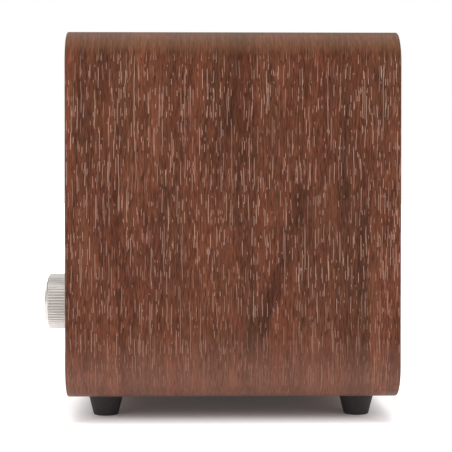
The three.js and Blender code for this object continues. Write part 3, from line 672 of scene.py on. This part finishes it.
def lit_segments():
    # Liquid-crystal segments with a cool backlight behind them, dimmed by the smoked window.
    made, tree, shader = material("backlit_segments", Roughness=0.5, Emission_Strength=1.4)
    glow = noise(tree, here(tree), 1 / (20 * MM), detail=1)
    colour = blended(tree, glow, linear("b9d4e6"), linear("d5e6f0"))
    feed(tree, shader, Base_Color=colour, Emission_Color=colour)
    return made


FINISHES = {}


def finish_named(name, make, *settings):
    """Each finish is made once and shared by the pieces that have it."""
    if name not in FINISHES:
        FINISHES[name] = make(*settings)
    return FINISHES[name]


def black_abs():
    return finish_named("black_abs", moulded_plastic, "moulded_black_abs", "131313", 0.55, 0.04 * MM)


def gloss_abs():
    return finish_named("gloss_abs", moulded_plastic, "gloss_black_abs", "0c0c0d", 0.16, 0.002 * MM)


def chrome():
    return finish_named("chrome", plated, "chrome_plated_brass", "c9cacc", "e2e3e5", 0.12)


def black_screw_steel():
    return finish_named("screw", plated, "black_oxide_steel", "26272a", "3c3e42", 0.38)


# Pieces


class RADIO_OT_stage(bpy.types.Operator):
    """Sets the camera, the pale floor and the soft studio light"""

    bl_idname = "radio.stage"
    bl_label = "Stage"

    def execute(self, context):
        sizes = context.scene.radio_stage
        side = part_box("cabinet_sleeve")[1].x
        choose_none()
        bpy.ops.object.camera_add(
            location=(side + sizes.distance, FRONT_Y + sizes.behind_front, sizes.height),
            rotation=(math.pi / 2 - sizes.tip, 0, math.pi / 2 - sizes.turn),
        )
        camera = context.object
        camera.data.lens = sizes.lens
        camera.data.shift_x = sizes.shift_x
        camera.data.shift_y = sizes.shift_y
        camera.data.clip_start = 0.01
        context.scene.camera = camera

        choose_none()
        bpy.ops.mesh.primitive_circle_add(vertices=96, radius=sizes.floor, fill_type="NGON")
        floor = settle()
        floor.name = "pale_floor"
        floor.data.materials.append(self.pale_paper())

        for name, at, size, power in [
            ("overhead_softbox", (-0.1, 0.0, 1.5), 1.6, 12.5),
            ("front_softbox", (1.1, -1.4, 0.9), 1.0, 12),
            ("rear_softbox", (1.1, 1.5, 0.9), 1.0, 10),
            ("far_softbox", (-1.5, -0.9, 1.0), 1.0, 5),
        ]:
            choose_none()
            bpy.ops.object.light_add(type="AREA", location=at)
            light = context.object
            light.name = name
            light.data.shape = "DISK"
            light.data.size = size
            light.data.energy = power
            aim = mathutils.Vector((0, 0, 0.09)) - mathutils.Vector(at)
            light.rotation_euler = aim.to_track_quat("-Z", "Y").to_euler()

        self.light_dome(context.scene)
        context.scene.view_settings.view_transform = "Standard"
        return {"FINISHED"}

    def pale_paper(self):
        """White paper that glows more the farther it is from the radio, and hardly at all under it."""
        paper, tree, shader = material("pale_paper_floor", Roughness=0.9, Specular_IOR_Level=0.1)
        mottle = noise(tree, here(tree), 3.0, detail=1)
        away = add(tree, "ShaderNodeVectorMath", {0: here(tree)}, operation="LENGTH").outputs["Value"]
        reach = add(tree, "ShaderNodeVectorMath", {0: here(tree)}, operation="ABSOLUTE").outputs[0]
        footprint = (0.145, 0.076, 0)
        past = add(tree, "ShaderNodeVectorMath", {0: reach, 1: footprint}, operation="SUBTRACT").outputs[0]
        past = add(tree, "ShaderNodeSeparateXYZ", {0: past})
        outside = sums(tree, "MAXIMUM", past.outputs[0], past.outputs[1])
        near = ramp_up(tree, outside, -0.022, 0.014, (0.04, 0.6))
        shader.inputs["Emission Color"].default_value = linear("ffffff")
        feed(
            tree,
            shader,
            Base_Color=blended(tree, mottle, linear("f6f6f6"), linear("fafafa")),
            Emission_Strength=sums(tree, "ADD", near, ramp_up(tree, away, 0.3, 1.6, (0, 0.6))),
        )
        return paper

    def light_dome(self, scene):
        """A world that is white to the camera, and lights the radio more from above than from the side."""
        world = bpy.data.worlds.new("studio")
        scene.world = world
        world.use_nodes = True
        tree = world.node_tree
        tree.nodes.clear()
        seen = add(tree, "ShaderNodeLightPath").outputs["Is Camera Ray"]
        direction = add(tree, "ShaderNodeTexCoord").outputs["Generated"]
        up = add(tree, "ShaderNodeSeparateXYZ", {0: direction}).outputs[2]
        dome = ramp_up(tree, up, 0.0, 0.8, (0.16, 0.6))
        strength = sums(tree, "MAXIMUM", seen, dome)
        sky = add(tree, "ShaderNodeBackground", {"Color": linear("ffffff"), "Strength": strength})
        add(tree, "ShaderNodeOutputWorld", {"Surface": sky.outputs[0]})


class RADIO_OT_cabinet(bpy.types.Operator):
    """Builds the wrapped sleeve, with the grain running round it"""

    bl_idname = "radio.cabinet"
    bl_label = "Cabinet"

    def execute(self, context):
        sizes = context.scene.radio_cabinet
        low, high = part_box("cabinet_sleeve")
        middle, size = (low + high) / 2, high - low
        sleeve = rounded_block(
            "walnut_sleeve", size.x, size.z, low.y, high.y, middle.x, middle.z, sizes.corner, segments=20
        )
        edit(sleeve)
        pick(sleeve, lambda face: abs(face.normal.y) > 0.9)
        bpy.ops.mesh.delete(type="ONLY_FACE")
        bpy.ops.mesh.select_all(action="SELECT")
        bpy.ops.mesh.bisect(plane_co=(0, 0, 0), plane_no=(1, 0, 0))
        finish_edit()
        with_modifier(sleeve, "SOLIDIFY", thickness=sizes.wall, offset=-1, use_even_offset=True)
        soften(sleeve, sizes.edge, segments=3, angle=60)
        self.map_wrap(sleeve, sizes)
        smooth(sleeve)
        place(sleeve, "chassis", "walnut_vinyl", walnut_film(sizes), "cabinet_sleeve")
        return {"FINISHED"}

    def map_wrap(self, sleeve, sizes):
        """U runs from front to back, over the rims and inside; V is the way round the cabinet."""
        low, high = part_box("cabinet_sleeve")
        middle, size = (low + high) / 2, high - low
        flat_x, flat_z = size.x / 2 - sizes.corner, size.z / 2 - sizes.corner
        quarter = sizes.corner * math.pi / 2
        length = 4 * (flat_x + flat_z + quarter)
        corners = [
            (1, -1, -math.pi / 2, flat_x),
            (1, 1, 0, flat_x + quarter + 2 * flat_z),
            (-1, 1, math.pi / 2, 3 * flat_x + 2 * quarter + 2 * flat_z),
            (-1, -1, math.pi, 3 * flat_x + 3 * quarter + 4 * flat_z),
        ]

        def way_round(x, z):
            for side, up, start, before in corners:
                across, above = side * x - flat_x, up * z - flat_z
                if across > -1e-7 and above > -1e-7:
                    turned = (math.atan2(up * above, side * across) - start) % math.tau
                    if turned > 6:
                        turned = 0
                    return before + min(turned, math.pi / 2) * sizes.corner
            if abs(x) < flat_x:
                if z < 0:
                    return x % length
                return flat_x + 2 * quarter + 2 * flat_z + flat_x - x
            if x > 0:
                return flat_x + quarter + z + flat_z
            return 3 * flat_x + 3 * quarter + 2 * flat_z + flat_z - z

        mesh = sleeve.data
        wrap = mesh.uv_layers.new(name="wrap")
        for face in mesh.polygons:
            rings = [mesh.vertices[v].co for v in face.vertices]
            local = face.center - middle
            rounds = []
            for at in rings:
                v = way_round(at.x - middle.x, at.z - middle.z)
                if local.z < 0 and local.x < 0 and v < 1e-6:
                    v = length
                if local.z < 0 and local.x > 0 and abs(v - length) < 1e-6:
                    v = 0
                rounds.append(v)
            inside = all(abs(local[i]) < size[i] / 2 - 0.9 * sizes.wall for i in (0, 2))
            for loop, at, v in zip(face.loop_indices, rings, rounds):
                depth = at.y - low.y
                far_x, far_z = abs(at.x - middle.x) - flat_x, abs(at.z - middle.z) - flat_z
                if far_x > 0 and far_z > 0:
                    into = sizes.corner - math.hypot(far_x, far_z)
                else:
                    into = sizes.corner - max(far_x, far_z)
                if local.y < 0:
                    u = depth - into if not inside else -into - depth
                else:
                    u = depth + into if not inside else size.y + into + size.y - depth
                wrap.data[loop].uv = (u, v)


class RADIO_OT_feet(bpy.types.Operator):
    """Builds the four tapered rubber feet"""

    bl_idname = "radio.feet"
    bl_label = "Feet"

    def execute(self, context):
        sizes = context.scene.radio_feet
        rubber = finish_named("rubber", moulded_rubber)
        nodes = ["front_left_foot", "front_right_foot", "rear_left_foot", "rear_right_foot"]
        first = centre_of(nodes[0])
        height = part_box("cabinet_sleeve")[0].z - 0.3 * MM
        choose_none()
        bpy.ops.mesh.primitive_cone_add(
            vertices=64,
            radius1=sizes.bottom,
            radius2=sizes.top,
            depth=height,
            location=(first.x, first.y, height / 2),
        )
        foot = settle()
        foot.name = "tapered_foot_1"
        edit(foot)
        pick(foot, facing("bottom"))
        bpy.ops.mesh.inset(thickness=sizes.rim)
        bpy.ops.mesh.extrude_region_move(TRANSFORM_OT_translate={"value": (0, 0, sizes.hollow)})
        finish_edit()
        soften(foot, 0.7 * MM, segments=4, angle=50)
        smooth(foot, 40)
        feet = [foot]
        for i, node in enumerate(nodes[1:], 2):
            feet.append(copy_of(foot, f"tapered_foot_{i}", centre_of(node) - first))
        for foot, node in zip(feet, nodes):
            place(foot, "chassis", "rubber", rubber, node)
        return {"FINISHED"}


class RADIO_OT_grille(bpy.types.Operator):
    """Builds the grille frame and the woven cloth stretched in it"""

    bl_idname = "radio.grille"
    bl_label = "Grille"

    def execute(self, context):
        sizes = context.scene.radio_front
        low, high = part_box("grille_frame")
        middle, size = (low + high) / 2, high - low
        ring = block_like("grille_surround", "grille_frame", sizes.corner)
        hole = (size.x - 2 * sizes.rim, size.z - 2 * sizes.rim, low.y - MM, high.y + MM, middle.x, middle.z)
        cut(ring, rounded_block("tool", *hole, sizes.corner / 2, 6))
        soften(ring, 0.6 * MM, segments=3)
        smooth(ring)
        place(ring, "chassis", "black_plastic", black_abs(), "grille_frame")

        size = size_of("grille_cloth")
        cloth = block_like("woven_cloth", "grille_cloth", 1.7 * MM, 4)
        soften(cloth, 0.2 * MM, segments=2)
        smooth(cloth)
        place(cloth, "chassis", "grille_fabric", speaker_cloth(sizes), "grille_cloth")
        return {"FINISHED"}


class RADIO_OT_controls(bpy.types.Operator):
    """Builds the fascia, the display with its window, and the five push buttons"""

    bl_idname = "radio.controls"
    bl_label = "Controls"

    def execute(self, context):
        sizes = context.scene.radio_front
        names = ["power", "source", "menu", "previous", "next"]
        low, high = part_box("control_fascia")
        fascia = block_like("control_plate", "control_fascia", sizes.corner)
        through = (low.y - MM, high.y + MM)
        gap = 2 * sizes.clearance
        window_size, window_at = size_of("display_window"), centre_of("display_window")
        opening = (window_size.x + gap, window_size.z + gap)
        tools = [rounded_block("tool", *opening, *through, window_at.x, window_at.z, 1.5 * MM, 5)]
        knob = centre_of("knob_body")
        tools.append(round_bar("tool", ENCODER_HOLE, *through, knob.x, knob.z))
        caps = [(f"{name}_button", centre_of(f"{name}_button")) for name in names]
        opening = (sizes.cap_width + gap, sizes.cap_height + gap)
        corner = sizes.cap_corner + sizes.clearance
        for _, at in caps:
            tools.append(rounded_block("tool", *opening, *through, at.x, at.z, corner))
        cut(fascia, *tools)
        soften(fascia, 0.45 * MM, segments=3)
        smooth(fascia)
        place(fascia, "chassis", "black_plastic", black_abs(), "control_fascia")

        window = block_like("display_lens", "display_window", 1.2 * MM, 5)
        soften(window, 0.25 * MM, segments=2)
        smooth(window)
        place(window, "chassis", "clear_acrylic", smoked_acrylic(), "display_window")
        self.add_digits(window_at)

        silver = finish_named("silver", satin_aluminium, "anodised_aluminium")
        first, at = caps[0]
        low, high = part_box(first)
        stem, flange = 8.8 * MM, 0.8 * MM
        cap_size = (sizes.cap_width, sizes.cap_height, low.y, low.y + stem)
        cap = rounded_block("power_push_button", *cap_size, at.x, at.z, sizes.cap_corner, 10)
        edit(cap)
        pick(cap, facing("back"))
        pull(0)
        bpy.ops.transform.resize(value=(1.18, 1, 1.45))
        pull(flange)
        bpy.ops.mesh.inset(thickness=2.1 * MM)
        pull(high.y - low.y - stem - flange)
        pick(cap, facing("front", -low.y))
        bpy.ops.mesh.inset(thickness=0.8 * MM)
        pull(0.2 * MM)
        finish_edit()
        soften(cap, 0.18 * MM, segments=3)
        smooth(cap, 40)
        buttons = [cap]
        for name, place_at in caps[1:]:
            buttons.append(copy_of(cap, name.replace("_button", "_push_button"), place_at - at))
        for name, button in zip(names, buttons):
            place(button, f"{name}_button", "satin_aluminium", silver, f"{name}_button")
        return {"FINISHED"}

    def add_digits(self, window_at):
        """A four-figure clock of seven bars a figure, and a row of level bars, on the display's glass."""
        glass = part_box("display_module")[0].y
        tall, wide, thick = 13 * MM, 7 * MM, 1.2 * MM
        bars = {"a": (0, 1), "g": (0, 0), "d": (0, -1)}
        bars |= {"b": (1, 0.5), "c": (1, -0.5), "e": (-1, -0.5), "f": (-1, 0.5)}
        figures = {"1": "bc", "2": "abged", "3": "abgcd", "0": "abcdef"}
        parts = []

        def bar(x, z, width, height):
            back = glass - 0.04 * MM
            parts.append(rounded_block("bar", width, height, back - 0.12 * MM, back, x, z, 0.3 * MM, 2))

        for figure, shift in zip("1230", (-19, -9, 5, 15)):
            for letter in figures[figure]:
                side, up = bars[letter]
                x = window_at.x + shift * MM + 2 * MM + side * (wide - thick) / 2
                z = window_at.z + 3 * MM + up * (tall - thick) / 2
                if side:
                    bar(x, z, thick, (tall - 3 * thick) / 2)
                else:
                    bar(x, z, wide - 2.2 * thick, thick)
        for up in (-2.5, 2.5):
            bar(window_at.x, window_at.z + (3 + up) * MM, thick, thick)
        for i in range(9):
            bar(window_at.x + (i - 4) * 5 * MM, window_at.z - 11 * MM, 3.4 * MM, 0.9 * MM)
        activate(parts[0])
        for part in parts:
            part.select_set(True)
        bpy.ops.object.join()
        digits = bpy.context.view_layer.objects.active
        digits.name = "display_segments"
        place(settle(), "chassis", "black_gloss", finish_named("segments", lit_segments))


class RADIO_OT_knob(bpy.types.Operator):
    """Builds the fluted knob and the turned disc in its face"""

    bl_idname = "radio.knob"
    bl_label = "Knob"

    def execute(self, context):
        sizes = context.scene.radio_knob
        low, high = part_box("knob_body")
        at, radius = (low + high) / 2, (high.x - low.x) / 2
        front = low.y + 0.6 * MM
        columns = 6
        body = round_bar("fluted_knob", radius, front, high.y, at.x, at.z, sizes.flutes * columns)
        edit(body, "VERT")
        axis = mathutils.Vector((at.x, at.y, at.z))
        for column, share in ((0, 1.0), (1, 0.62), (5, 0.62), (2, 0.14), (4, 0.14)):
            step = math.tau / sizes.flutes / columns

            def in_groove(vertex):
                angle = math.atan2(vertex.co.z - at.z, vertex.co.x - at.x) % math.tau
                return round(angle / step) % columns == column

            pick(body, in_groove)
            shrink = 1 - share * sizes.depth / radius
            bpy.ops.transform.resize(value=(shrink, 1, shrink), center_override=axis)
        finish_edit()

        slope_out, slope_in = 1.8 * MM, 1.2 * MM
        wide = radius + 0.5 * MM
        envelope = round_bar("tool", wide, front + slope_in, high.y + MM, at.x, at.z, 160)
        edit(envelope)
        pick(envelope, facing("front"))
        pull(-slope_in)
        narrow = (wide - slope_out) / wide
        bpy.ops.transform.resize(value=(narrow, 1, narrow))
        finish_edit()
        combine(body, envelope, "INTERSECT")
        seat = round_bar("tool", sizes.face + 0.3 * MM, low.y - MM, low.y + MM, at.x, at.z, 96)
        recess = round_bar("tool", NUT_RECESS[0], high.y - NUT_RECESS[1], high.y + MM, at.x, at.z)
        bore = round_bar("tool", SHAFT_BORE, low.y + KNOB_WEB, high.y, at.x, at.z)
        cut(body, seat, recess, bore)
        soften(body, 0.12 * MM, segments=2, angle=32)
        smooth(body, 30)
        silver = finish_named("silver", satin_aluminium, "anodised_aluminium")
        place(body, "knob", "satin_aluminium", silver, "knob_body")

        low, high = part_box("knob_face")
        disc = round_bar("knob_disc", sizes.face, low.y, high.y, at.x, at.z, 96)
        edit(disc)
        pick(disc, facing("front"))
        bpy.ops.mesh.inset(thickness=0.7 * MM)
        pull(0.15 * MM)
        finish_edit()
        soften(disc, 0.15 * MM, segments=2)
        smooth(disc)
        spun = finish_named("spun", satin_aluminium, "lathe_turned_aluminium", at.x, at.z)
        place(disc, "knob", "satin_aluminium", spun, "knob_face")
        return {"FINISHED"}


class RADIO_OT_back(bpy.types.Operator):
    """Builds the rear panel, its screws, the bass port and the three sockets"""

    bl_idname = "radio.back"
    bl_label = "Back"

    def execute(self, context):
        sizes = context.scene.radio_back
        low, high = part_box("rear_panel")
        middle, size = (low + high) / 2, high - low
        front, back = high.y - PANEL, high.y
        panel = rounded_block("rear_cover", size.x, size.z, front, back, middle.x, middle.z, 4.6 * MM)
        through = (front - MM, back + MM)
        sockets = {"dc_inlet": (5, 3.2, 9), "aux_jack": (4, 1.8, 14), "headphone_jack": (4, 1.8, 14)}
        screws = [f"rear_screw_{i}" for i in (1, 2, 3, 4)]

        def hole(node, radius, vertices=64):
            at = centre_of(node)
            return round_bar("tool", radius * MM, *through, at.x, at.z, vertices)

        tools = [hole(node, facts[0] + 0.3) for node, facts in sockets.items()]
        tools += [hole("bass_port", 19.4, 96), hole("aerial_bush", 3.3)]
        rocker, opening = centre_of("rocker_frame"), (13.2 * MM, 19.2 * MM)
        tools.append(rounded_block("tool", *opening, *through, rocker.x, rocker.z, 0.5 * MM, 2))
        tools += [hole(node, 1.8, 24) for node in screws]
        cut(panel, *tools)
        soften(panel, 0.35 * MM, segments=2)
        smooth(panel)
        place(panel, "chassis", "black_plastic", black_abs(), "rear_panel")

        self.add_port(sizes)
        self.add_screws(screws, sizes)
        for node, facts in sockets.items():
            self.add_socket(node, *facts)
        return {"FINISHED"}

    def add_port(self, sizes):
        low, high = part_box("bass_port")
        middle = (low + high) / 2
        flange = (high.x - low.x) / 2
        tube, wall = 19 * MM, 2 * MM
        seat = high.y - 2 * MM
        port = round_bar("bass_port_tube", flange, seat, high.y, middle.x, middle.z, 96)
        edit(port)
        pick(port, facing("front"))
        bpy.ops.mesh.inset(thickness=flange - tube)
        pull(low.y - seat)
        bpy.ops.mesh.inset(thickness=wall)
        bpy.ops.mesh.delete(type="FACE")
        pick(port, facing("back"))
        bpy.ops.mesh.inset(thickness=flange - tube + wall)
        bpy.ops.mesh.delete(type="FACE")
        bpy.ops.mesh.select_mode(type="EDGE")
        bpy.ops.mesh.select_non_manifold()
        bpy.ops.mesh.bridge_edge_loops()
        finish_edit()
        edit(port, "EDGE")
        mesh = port.data

        def mouth(edge):
            ends = [mesh.vertices[i].co - middle for i in edge.vertices]
            at_bore = all(abs(math.hypot(end.x, end.z) - (tube - wall)) < 0.1 * MM for end in ends)
            return at_bore and all(abs(end.y + middle.y - high.y) < 0.01 * MM for end in ends)

        pick(port, mouth)
        bpy.ops.mesh.bevel(offset=sizes.flare, segments=6, affect="EDGES")
        finish_edit()
        soften(port, 0.5 * MM, segments=3, angle=50)
        smooth(port, 40)
        place(port, "chassis", "black_plastic", black_abs(), "bass_port")

    def add_screws(self, nodes, sizes):
        low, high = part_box(nodes[0])
        at = (low + high) / 2
        head, seat = (high.x - low.x) / 2, high.y - 2 * MM
        screw = round_bar("panel_screw_1", head, seat, high.y, at.x, at.z, 40)
        edit(screw)
        pick(screw, facing("front"))
        bpy.ops.mesh.inset(thickness=head - 1.5 * MM)
        pull(low.y - seat)
        finish_edit()
        edit(screw, "EDGE")
        mesh = screw.data

        def crown(edge):
            return all(abs(mesh.vertices[i].co.y - high.y) < 0.01 * MM for i in edge.vertices)

        pick(screw, crown)
        bpy.ops.mesh.bevel(offset=1.3 * MM, segments=5, affect="EDGES")
        finish_edit()
        bottom = high.y - sizes.recess
        for width, height in ((3.0, 0.7), (0.7, 3.0)):
            slot = (width * MM, height * MM, bottom, high.y + MM)
            cut(screw, rounded_block("tool", *slot, at.x, at.z, 0.2 * MM, 2))
        smooth(screw)
        screws = [screw]
        for i, node in enumerate(nodes[1:], 2):
            screws.append(copy_of(screw, f"panel_screw_{i}", centre_of(node) - at))
        for screw, node in zip(screws, nodes):
            place(screw, "chassis", "steel", black_screw_steel(), node)

    def add_socket(self, node, nose, bore, depth):
        """A socket's body behind the panel and its nose in the hole: radii of nose and bore, depth, in mm."""
        low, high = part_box(node)
        at, size = (low + high) / 2, high - low
        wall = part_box("rear_panel")[1].y - PANEL - 0.3 * MM
        body = rounded_block(f"{node}_body", size.x, size.z, low.y, wall, at.x, at.z, 0.6 * MM, 2)
        barrel = round_bar("tool", nose * MM, wall - MM, high.y, at.x, at.z, 48)
        fuse(body, barrel)
        cut(body, round_bar("tool", bore * MM, high.y - depth * MM, high.y + MM, at.x, at.z, 48))
        soften(body, 0.25 * MM, segments=2)
        if node == "dc_inlet":
            pin = round_bar("tool", 1.0 * MM, high.y - (depth + 0.5) * MM, high.y - MM, at.x, at.z, 24)
            fuse(body, pin)
        smooth(body)
        place(body, "chassis", "black_plastic", gloss_abs(), node)


class RADIO_OT_rocker(bpy.types.Operator):
    """Builds the mains rocker and its frame"""

    bl_idname = "radio.rocker"
    bl_label = "Rocker"

    def execute(self, context):
        for node, name, body, finish in [
            ("rocker_frame", "rocker_bezel", "chassis", black_abs()),
            ("power_rocker", "rocker_paddle", "rocker", gloss_abs()),
        ]:
            piece = twin_of(node, name)
            soften(piece, 0.3 * MM, segments=2)
            smooth(piece)
            place(piece, body, "black_plastic", finish, node)
        return {"FINISHED"}


class RADIO_OT_aerial(bpy.types.Operator):
    """Builds the aerial: its bush, fork, pin, four tubes and tip"""

    bl_idname = "radio.aerial"
    bl_label = "Aerial"

    def execute(self, context):
        for node, body, width in [
            ("aerial_bush", "chassis", 0.4),
            ("aerial_swivel", "aerial_fork", 0.35),
            ("aerial_pivot_pin", "aerial_fork", 0.2),
            ("aerial_section_1", "aerial_tube_1", 0.15),
            ("aerial_section_2", "aerial_tube_2", 0.12),
            ("aerial_section_3", "aerial_tube_3", 0.12),
            ("aerial_section_4", "aerial_tube_4", 0.12),
            ("aerial_tip", "aerial_tube_4", 0.2),
        ]:
            piece = twin_of(node, node.replace("aerial_", "antenna_"))
            soften(piece, width * MM, segments=2, angle=40)
            smooth(piece, 38)
            slot = "steel" if node == "aerial_pivot_pin" else "bright_metal"
            place(piece, body, slot, chrome(), node)
        return {"FINISHED"}


class RADIO_OT_inside(bpy.types.Operator):
    """Gives every CAD solid that still shows the finish of its real material"""

    bl_idname = "radio.inside"
    bl_label = "Inside"

    def execute(self, context):
        steel = plated("zinc_plated_steel", "85888c", "a4a7aa", 0.35)
        paper = pressed_paper("pressed_paper_cone", "1d1b19", "2c2926")
        board = circuit_laminate()
        rubber = finish_named("rubber", moulded_rubber)
        silver = finish_named("silver", satin_aluminium, "anodised_aluminium")
        finishes = {
            "rear_batten_left rear_batten_right": planed_pine(),
            "front_baffle encoder_plunger": black_abs(),
            "display_module": gloss_abs(),
            "control_board main_board": board,
            "encoder_body encoder_nut encoder_shaft speaker_basket speaker_top_plate speaker_yoke": steel,
            "speaker_screw_1 speaker_screw_2 speaker_screw_3 speaker_screw_4": black_screw_steel(),
            "tuner_can": plated("tin_plated_steel", "a9abad", "c4c5c6", 0.28),
            "heat_sink": silver,
            "speaker_surround": rubber,
            "speaker_cone speaker_dust_cap": paper,
            "speaker_spider": pressed_paper("resin_dipped_cloth", "8a6a35", "a98a4e"),
            "speaker_voice_coil": wound_copper(),
            "speaker_magnet": sintered_ferrite(),
        }
        for names, finish in finishes.items():
            for name in names.split():
                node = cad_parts[name]
                for slot in node.material_slots:
                    slot.link = "OBJECT"
                    slot.material = finish
        return {"FINISHED"}


class RADIO_PT_panel(bpy.types.Panel):
    """Lists the radio's pieces and their sizes"""

    bl_idname = "RADIO_PT_panel"
    bl_label = "Tabletop radio"
    bl_space_type = "VIEW_3D"
    bl_region_type = "UI"
    bl_category = "Radio"

    def draw(self, context):
        for group in SIZES:
            for name in GROUP_TYPES[group].__annotations__:
                self.layout.prop(getattr(context.scene, group), name)
        for step in STEPS:
            self.layout.operator(step.bl_idname)


GROUP_TYPES = {
    "radio_stage": StageSizes,
    "radio_cabinet": CabinetSizes,
    "radio_feet": FootSizes,
    "radio_knob": KnobSizes,
    "radio_front": FrontSizes,
    "radio_back": BackSizes,
}
SIZES = list(GROUP_TYPES)
STEPS = [
    RADIO_OT_stage,
    RADIO_OT_cabinet,
    RADIO_OT_feet,
    RADIO_OT_grille,
    RADIO_OT_controls,
    RADIO_OT_knob,
    RADIO_OT_back,
    RADIO_OT_rocker,
    RADIO_OT_aerial,
    RADIO_OT_inside,
]


def register():
    for kind in (*GROUP_TYPES.values(), *STEPS, RADIO_PT_panel):
        bpy.utils.register_class(kind)
    for name, kind in GROUP_TYPES.items():
        setattr(bpy.types.Scene, name, bpy.props.PointerProperty(type=kind))


def unregister():
    for name in GROUP_TYPES:
        delattr(bpy.types.Scene, name)
    for kind in reversed((*GROUP_TYPES.values(), *STEPS, RADIO_PT_panel)):
        bpy.utils.unregister_class(kind)


def main():
    register()
    bpy.ops.radio.stage()
    bpy.ops.radio.cabinet()
    bpy.ops.radio.feet()
    bpy.ops.radio.grille()
    bpy.ops.radio.controls()
    bpy.ops.radio.knob()
    bpy.ops.radio.back()
    bpy.ops.radio.rocker()
    bpy.ops.radio.aerial()
    bpy.ops.radio.inside()


if __name__ == "__main__":
    main()
